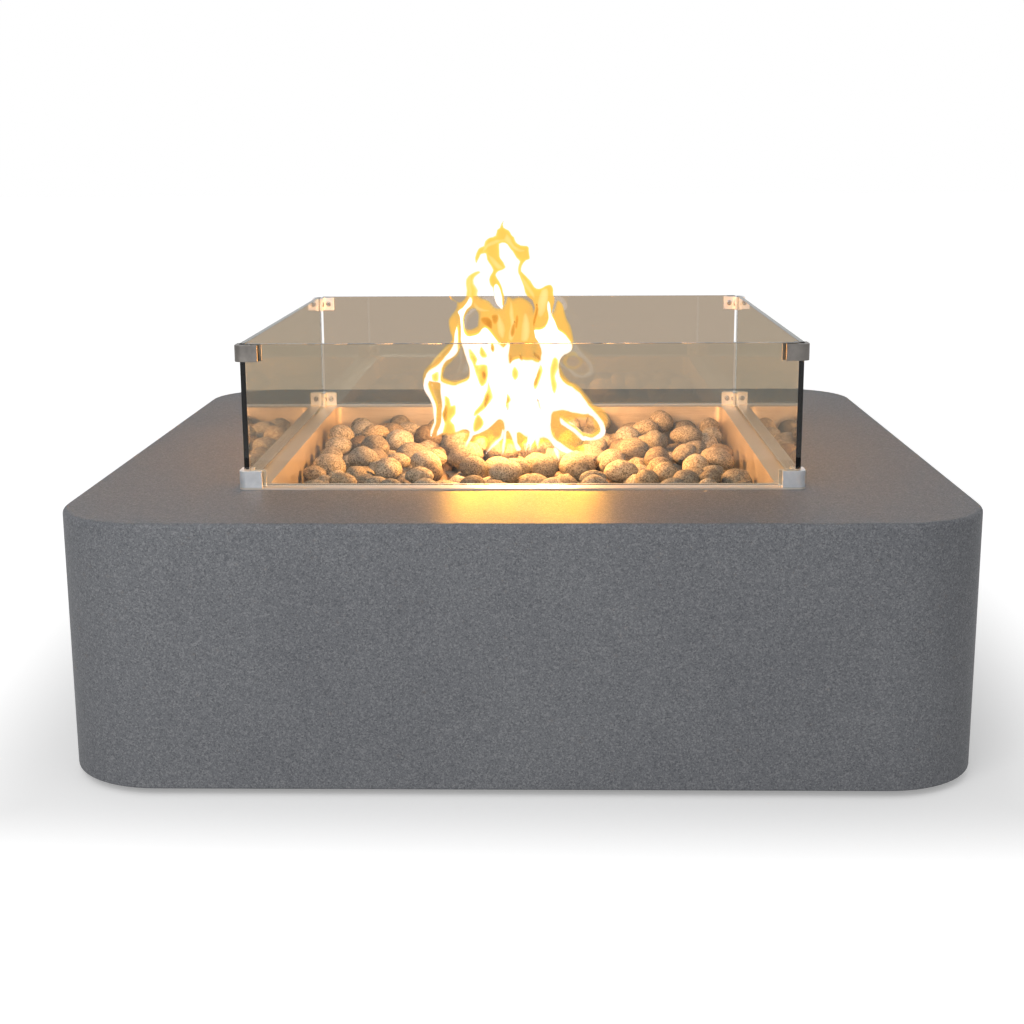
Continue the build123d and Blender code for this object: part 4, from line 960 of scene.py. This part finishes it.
WHITE_SHEETS = [
    [(-94, 506), (-87, 510), (-81, 517), (-77, 525), (-73, 522), (-74, 514), (-80, 508),
     (-84, 502), (-86, 492), (-84, 479), (-80, 472), (-72, 471), (-65, 474), (-60, 479),
     (-55, 482), (-48, 478), (-42, 472), (-37, 464), (-31, 455), (-25, 462), (-21, 458),
     (-23, 444), (-21, 433), (-17, 437), (-9, 440), (1, 437), (11, 438), (19, 435), (24, 447),
     (21, 459), (15, 468), (12, 479), (21, 480), (28, 484), (32, 494), (31, 508), (32, 519),
     (36, 515), (36, 501), (42, 490), (46, 480), (53, 475), (60, 468), (66, 458), (64, 449),
     (55, 446), (49, 438), (47, 427), (50, 414), (56, 405), (66, 400), (76, 391), (84, 383),
     (90, 373), (91, 364), (80, 360), (66, 363), (52, 367), (39, 364), (36, 353), (36, 338),
     (40, 328), (50, 320), (62, 312), (72, 307), (63, 304), (50, 308), (39, 317), (31, 325),
     (21, 326), (18, 310), (15, 317), (12, 326), (4, 327), (-6, 334), (-12, 334), (-11, 321),
     (-5, 311), (-12, 308), (-18, 321), (-22, 333), (-26, 336), (-28, 321), (-31, 304), (-34, 308),
     (-33, 326), (-29, 341), (-32, 351), (-38, 354), (-45, 347), (-53, 339), (-65, 333),
     (-73, 330), (-79, 321), (-85, 311), (-83, 324), (-79, 336), (-87, 339), (-95, 336),
     (-105, 334), (-116, 334), (-125, 330), (-121, 344), (-118, 359), (-117, 373), (-118, 387),
     (-119, 402), (-120, 410), (-115, 407), (-106, 404), (-97, 403), (-87, 407), (-79, 413),
     (-79, 427), (-83, 441), (-87, 452), (-90, 464), (-89, 478), (-90, 489), (-92, 499)],
    [(-140, 413), (-134, 423), (-126, 429), (-116, 437), (-107, 447), (-101, 457), (-99, 464),
     (-98, 475), (-95, 485), (-93, 478), (-93, 462), (-93, 454), (-95, 447), (-100, 441),
     (-109, 436), (-115, 429), (-117, 420), (-118, 410), (-116, 404), (-123, 406), (-133, 407)],
    [(-134, 337), (-130, 350), (-130, 365), (-132, 376), (-136, 386), (-142, 397), (-143, 409),
     (-139, 414), (-133, 410), (-136, 405), (-133, 396), (-129, 386), (-125, 376), (-124, 365),
     (-126, 350), (-129, 336), (-132, 330)],
    [(86, 376), (96, 367), (103, 360), (110, 350), (113, 338), (111, 330), (106, 325), (96, 323),
     (85, 323), (77, 327), (84, 330), (94, 328), (103, 333), (106, 340), (101, 350), (94, 358),
     (86, 363)],
    [(49, 358), (57, 351), (69, 341), (80, 331), (86, 324), (80, 323), (70, 331), (60, 340),
     (50, 347)],
    [(-43, 539), (-39, 543), (-35, 540), (-32, 531), (-31, 519), (-31, 507), (-36, 511),
     (-41, 519), (-43, 529)],
    [(-32, 341), (-36, 330), (-45, 321), (-53, 311), (-56, 304), (-52, 308), (-42, 317),
     (-33, 326), (-29, 336)],
    [(45, 312), (48, 304), (48, 292), (43, 302), (40, 313)],
]
GOLD_PATCHES = [
    [(-130, 419), (-124, 424), (-120, 423), (-120, 412), (-125, 409), (-129, 412)],
    [(-51, 410), (-47, 397), (-44, 386), (-53, 376), (-62, 366), (-70, 360), (-73, 362),
     (-67, 373), (-60, 382), (-56, 393), (-53, 401)],
    [(-112, 389), (-105, 385), (-104, 376), (-97, 376), (-97, 364), (-104, 354), (-99, 349),
     (-97, 336), (-106, 334), (-116, 334), (-113, 350), (-116, 362), (-113, 373)],
    [(-79, 457), (-72, 451), (-65, 441), (-67, 433), (-59, 434), (-52, 433), (-51, 421),
     (-54, 407), (-61, 402), (-67, 413), (-72, 433), (-78, 444)],
    [(-67, 363), (-60, 357), (-57, 349), (-65, 340), (-72, 339), (-73, 350)],
    [(-14, 430), (-9, 423), (-10, 416), (-15, 411), (-19, 417), (-17, 425)],
    [(21, 434), (24, 424), (21, 410), (16, 398), (12, 401), (15, 416), (17, 425)],
    [(40, 444), (46, 441), (46, 427), (43, 418), (45, 407), (42, 391), (38, 397), (35, 418),
     (36, 435)],
    [(-25, 393), (-20, 384), (-23, 379), (-22, 371), (-27, 376), (-26, 384)],
    [(-61, 459), (-54, 451), (-51, 444), (-58, 443), (-64, 450)],
    [(-45, 466), (-41, 459), (-42, 450), (-47, 455)],
]
PALE_STREAKS = [
    [(-20, 521), (-15, 508), (-15, 494), (-13, 478), (-17, 464), (-24, 466), (-21, 485),
     (-22, 503)],
    [(-1, 504), (5, 494), (7, 477), (3, 463), (-6, 465), (-4, 485)],
    [(22, 533), (31, 536), (33, 522), (29, 505), (22, 494), (17, 503), (18, 519)],
    [(-38, 503), (-31, 492), (-27, 478), (-31, 466), (-37, 475), (-39, 489)],
    [(-59, 589), (-52, 598), (-40, 604), (-29, 605), (-25, 612), (-18, 605), (-14, 595), (-4, 590),
     (3, 587), (-8, 586), (-18, 591), (-27, 601), (-40, 598), (-50, 593), (-57, 586)],
    [(-51, 583), (-44, 578), (-37, 571), (-29, 565), (-37, 561), (-46, 569), (-50, 576)],
    [(-79, 550), (-74, 553), (-74, 540), (-74, 527), (-80, 518), (-79, 533)],
    [(-7, 562), (-1, 550), (7, 540), (14, 530), (13, 522), (4, 533), (-4, 546)],
    [(-73, 521), (-67, 514), (-57, 508), (-45, 506), (-57, 504), (-69, 508)],
    [(-133, 426), (-124, 436), (-113, 447), (-104, 457), (-108, 457), (-120, 447), (-130, 436)],
    [(-132, 405), (-125, 393), (-121, 380), (-120, 367), (-124, 379), (-129, 392)],
]
AMBER_STREAKS = [
    [(-18, 489), (-14, 494), (-13, 485), (-14, 475), (-18, 473), (-20, 480)],
    [(-11, 504), (-8, 500), (-9, 489), (-11, 482), (-14, 486), (-13, 496)],
    [(17, 519), (20, 511), (18, 500), (15, 490), (12, 483), (11, 490), (14, 503), (15, 511)],
    [(-45, 503), (-39, 504), (-35, 500), (-37, 493), (-41, 489), (-45, 494)],
    [(-60, 499), (-52, 500), (-45, 494), (-44, 483), (-51, 485), (-58, 490)],
    [(-45, 466), (-41, 459), (-42, 450), (-47, 455)],
    [(12, 452), (18, 449), (24, 442), (22, 438), (17, 444), (12, 447)],
    [(18, 430), (21, 423), (18, 410), (15, 401), (12, 407), (15, 418)],
    [(-25, 393), (-22, 384), (-25, 379), (-23, 371), (-27, 376), (-26, 384)],
    [(18, 387), (22, 379), (23, 373), (19, 377)],
    [(-53, 396), (-49, 390), (-50, 382), (-56, 374), (-57, 382)],
    [(-112, 379), (-108, 376), (-108, 365), (-110, 353), (-114, 359), (-114, 370)],
    [(-20, 449), (-17, 442), (-19, 434), (-21, 435), (-21, 445)],
    [(-7, 449), (-3, 445), (-3, 438), (-7, 441)],
    [(-58, 427), (-54, 424), (-54, 416), (-57, 413), (-60, 420)],
]

# %% Cushions of gas
EDGE_STEPS = 2
GRID_MM = 2.2
GRID_ROW = 0.866  # rows of equal triangles are this much closer than columns
GRID_FROM_EDGE = 0.3  # how much of the grid's step its points keep off the edge
PLACES_AT_ONCE = 3000
RIPPLE_MM = (9.0, 34.0)
RIPPLE_SHARE = 0.5
LICK_SIZES = ((0.020, 0.0018), (0.007, 0.0007))  # how large the eddies are, and their push
ROOT_HEIGHT = 0.315
ACROSS_BACK = 0.01
ON_EDGE_MM = 1e-3


def licked(point):
    """A point of the flame moved a little by moving air, the same way in all of its skins."""
    moved = point.copy()
    for size, push in LICK_SIZES:
        moved += push * soft_noise.noise_vector(point / size)
    return moved


def smooth_outline(outline):
    """A closed line through the points of an outline, as a Catmull-Rom spline."""
    points, line = [Vector(point) for point in outline], []
    for i in range(len(points)):
        before, start, end, after = (points[(i + k) % len(points)] for k in (-1, 0, 1, 2))
        for step in range(EDGE_STEPS):
            t = step / EDGE_STEPS
            line.append(0.5 * (
                2 * start + (end - before) * t + (2 * before - 5 * start + 4 * end - after) * t**2
                + (3 * start - before - 3 * end + after) * t**3
            ))
    return line


def from_edge(places, lines):
    """How far each place is from the nearest outline, and whether it is inside the sheet."""
    starts = np.array([point for line in lines for point in line])
    ends = np.array([point for line in lines for point in line[1:] + line[:1]])
    span = ends - starts
    gap = places[:, None] - starts
    along = np.clip((gap * span).sum(2) / (span**2).sum(1), 0, 1)
    apart = np.linalg.norm(gap - along[..., None] * span, axis=2).min(1)
    rise = np.where(span[:, 1] == 0, 1e-9, span[:, 1])
    crossed = (starts[:, 1] > places[:, 1:]) != (ends[:, 1] > places[:, 1:])
    right = places[:, :1] < starts[:, 0] + (places[:, 1:] - starts[:, 1]) * span[:, 0] / rise
    return apart, (crossed & right).sum(1) % 2 == 1


def in_parts(places, lines):
    """The same for many places, a few thousand at a time, which spares memory."""
    starts = range(0, len(places), PLACES_AT_ONCE)
    parts = [from_edge(places[i : i + PLACES_AT_ONCE], lines) for i in starts]
    return [np.concatenate(kind) for kind in zip(*parts)]


def across_flame(point, share):
    """A point turned a quarter round the flame, and drawn in towards its root."""
    height = ROOT_HEIGHT + (point.z - ROOT_HEIGHT) * share
    return Vector((ACROSS_BACK - point.y, point.x * share, height))


def gas_sheet(name, outlines, thick_mm, soft_mm, ahead_mm, material, across=0):
    """A closed cushion of gas over an outline. It is a little ahead of the middle of the flame,
    or turned across it at a share of its size."""
    lines = [smooth_outline(outline) for outline in outlines]
    edge = [point for line in lines for point in line]
    links, first = [], 0
    for line in lines:
        links += [(first + k, first + (k + 1) % len(line)) for k in range(len(line))]
        first += len(line)
    low, high = np.min(edge, axis=0), np.max(edge, axis=0)
    columns, levels = np.meshgrid(
        np.arange(low[0], high[0], GRID_MM), np.arange(low[1], high[1], GRID_MM * GRID_ROW),
    )
    columns[1::2] += GRID_MM / 2
    grid = np.column_stack((columns.ravel(), levels.ravel()))
    apart, inside = in_parts(grid, lines)
    grid = [Vector(place) for place in grid[inside & (apart > GRID_MM * GRID_FROM_EDGE)]]
    points, _, faces, _, _, _ = delaunay_2d_cdt(edge + grid, links, [], 0, 1e-4)
    places = np.array(points)
    apart, _ = in_parts(places, lines)
    _, inside = in_parts(np.array([places[list(face)].mean(0) for face in faces]), lines)
    faces = [face for face, kept in zip(faces, inside) if kept]

    work = bmesh.new()
    front, back = {}, {}
    for i in sorted({i for face in faces for i in face}):
        x, z = places[i]
        wave = soft_noise.noise(Vector((x / RIPPLE_MM[0], ahead_mm, z / RIPPLE_MM[1])))
        ripple = 1 + RIPPLE_SHARE * wave
        thick = thick_mm * (1 - math.exp(-apart[i] / soft_mm)) * ripple / 1000
        middle = licked(folded(x / 1000, z / 1000))
        middle.y -= ahead_mm / 1000
        ends = [middle]
        if apart[i] > ON_EDGE_MM:
            ends = [middle - Vector((0, thick, 0)), middle + Vector((0, thick, 0))]
        if across:
            ends = [across_flame(end, across) for end in ends]
        front[i] = work.verts.new(ends[0])
        back[i] = work.verts.new(ends[1]) if len(ends) == 2 else front[i]
    for face in faces:
        work.faces.new([front[i] for i in face])
        if any(back[i] is not front[i] for i in face):
            work.faces.new([back[i] for i in reversed(face)])
    bmesh.ops.recalc_face_normals(work, faces=work.faces)
    sheet = as_piece(as_mesh(work, name), name)
    sheet.data.materials.append(material)
    sheet.visible_shadow = False
    sheet.visible_diffuse = False
    return sheet


# %% Glowing gas
def burning_gas(name, shown, swallowed):
    """A gas by the colour that a thick layer of it shows, and how much of red, green and blue
    one metre of it swallows."""
    material, tree, output = bare_material(name)
    density = max(swallowed)
    passing = [1 - share / density for share in swallowed]
    swallow = add(tree, "ShaderNodeVolumeAbsorption", 0, Color=(*passing, 1), Density=density)
    glow = [colour * share for colour, share in zip(shown, swallowed)]
    strength = max(glow)
    tint = [g / strength for g in glow]
    shine = add(tree, "ShaderNodeEmission", 0, Color=(*tint, 1), Strength=strength)
    give(tree, output, Volume=add(tree, "ShaderNodeAddShader", 0, _0=swallow, _1=shine))
    return material


gold_gas = burning_gas("gold_gas", (1.45, 0.62, 0.12), (110.0, 170.0, 520.0))
pale_gas = burning_gas("pale_gas", (1.35, 0.95, 0.38), (300.0, 300.0, 300.0))
white_gas = burning_gas("white_gas", (2.20, 1.85, 1.70), (500.0, 500.0, 500.0))
amber_gas = burning_gas("amber_gas", (0.62, 0.24, 0.04), (260.0, 330.0, 520.0))

# %% The sheets in their layers
# Gold sheets have a thickness and a softness of the edge in millimetres. Each other layer has its
# outlines, the same two sizes, its gas, and how far ahead of the middle its copies stand.
GOLD_THICK_SOFT = ((5.0, 4.0), (7.5, 2.6), (1.2, 3.0))
LAYERS = (
    (WHITE_SHEETS, 8.0, 9.0, white_gas, {"white": 15, "behind": -15}),
    (GOLD_PATCHES, 6.0, 4.0, gold_gas, {"patch": 30}),
    (PALE_STREAKS, 2.2, 5.0, pale_gas, {"streak": 10}),
    (AMBER_STREAKS, 3.2, 2.5, amber_gas, {"amber": 40}),
)
ACROSS_SHARE = 0.5
sheets = [
    gas_sheet(f"flame_gold_{i}", outlines, *GOLD_THICK_SOFT[i], 0, gold_gas)
    for i, outlines in enumerate(GOLD_SHEETS)
]
for outlines, thick, soft, gas, stands in LAYERS:
    for i, outline in enumerate(outlines):
        for name, ahead in stands.items():
            sheets.append(gas_sheet(f"flame_{name}_{i}", [outline], thick, soft, ahead, gas))
sheets.append(gas_sheet("flame_across", WHITE_SHEETS[:1], 5.0, 8.0, 0, white_gas, ACROSS_SHARE))
print(len(sheets), "sheets of gas,", sum(len(sheet.data.polygons) for sheet in sheets), "faces")
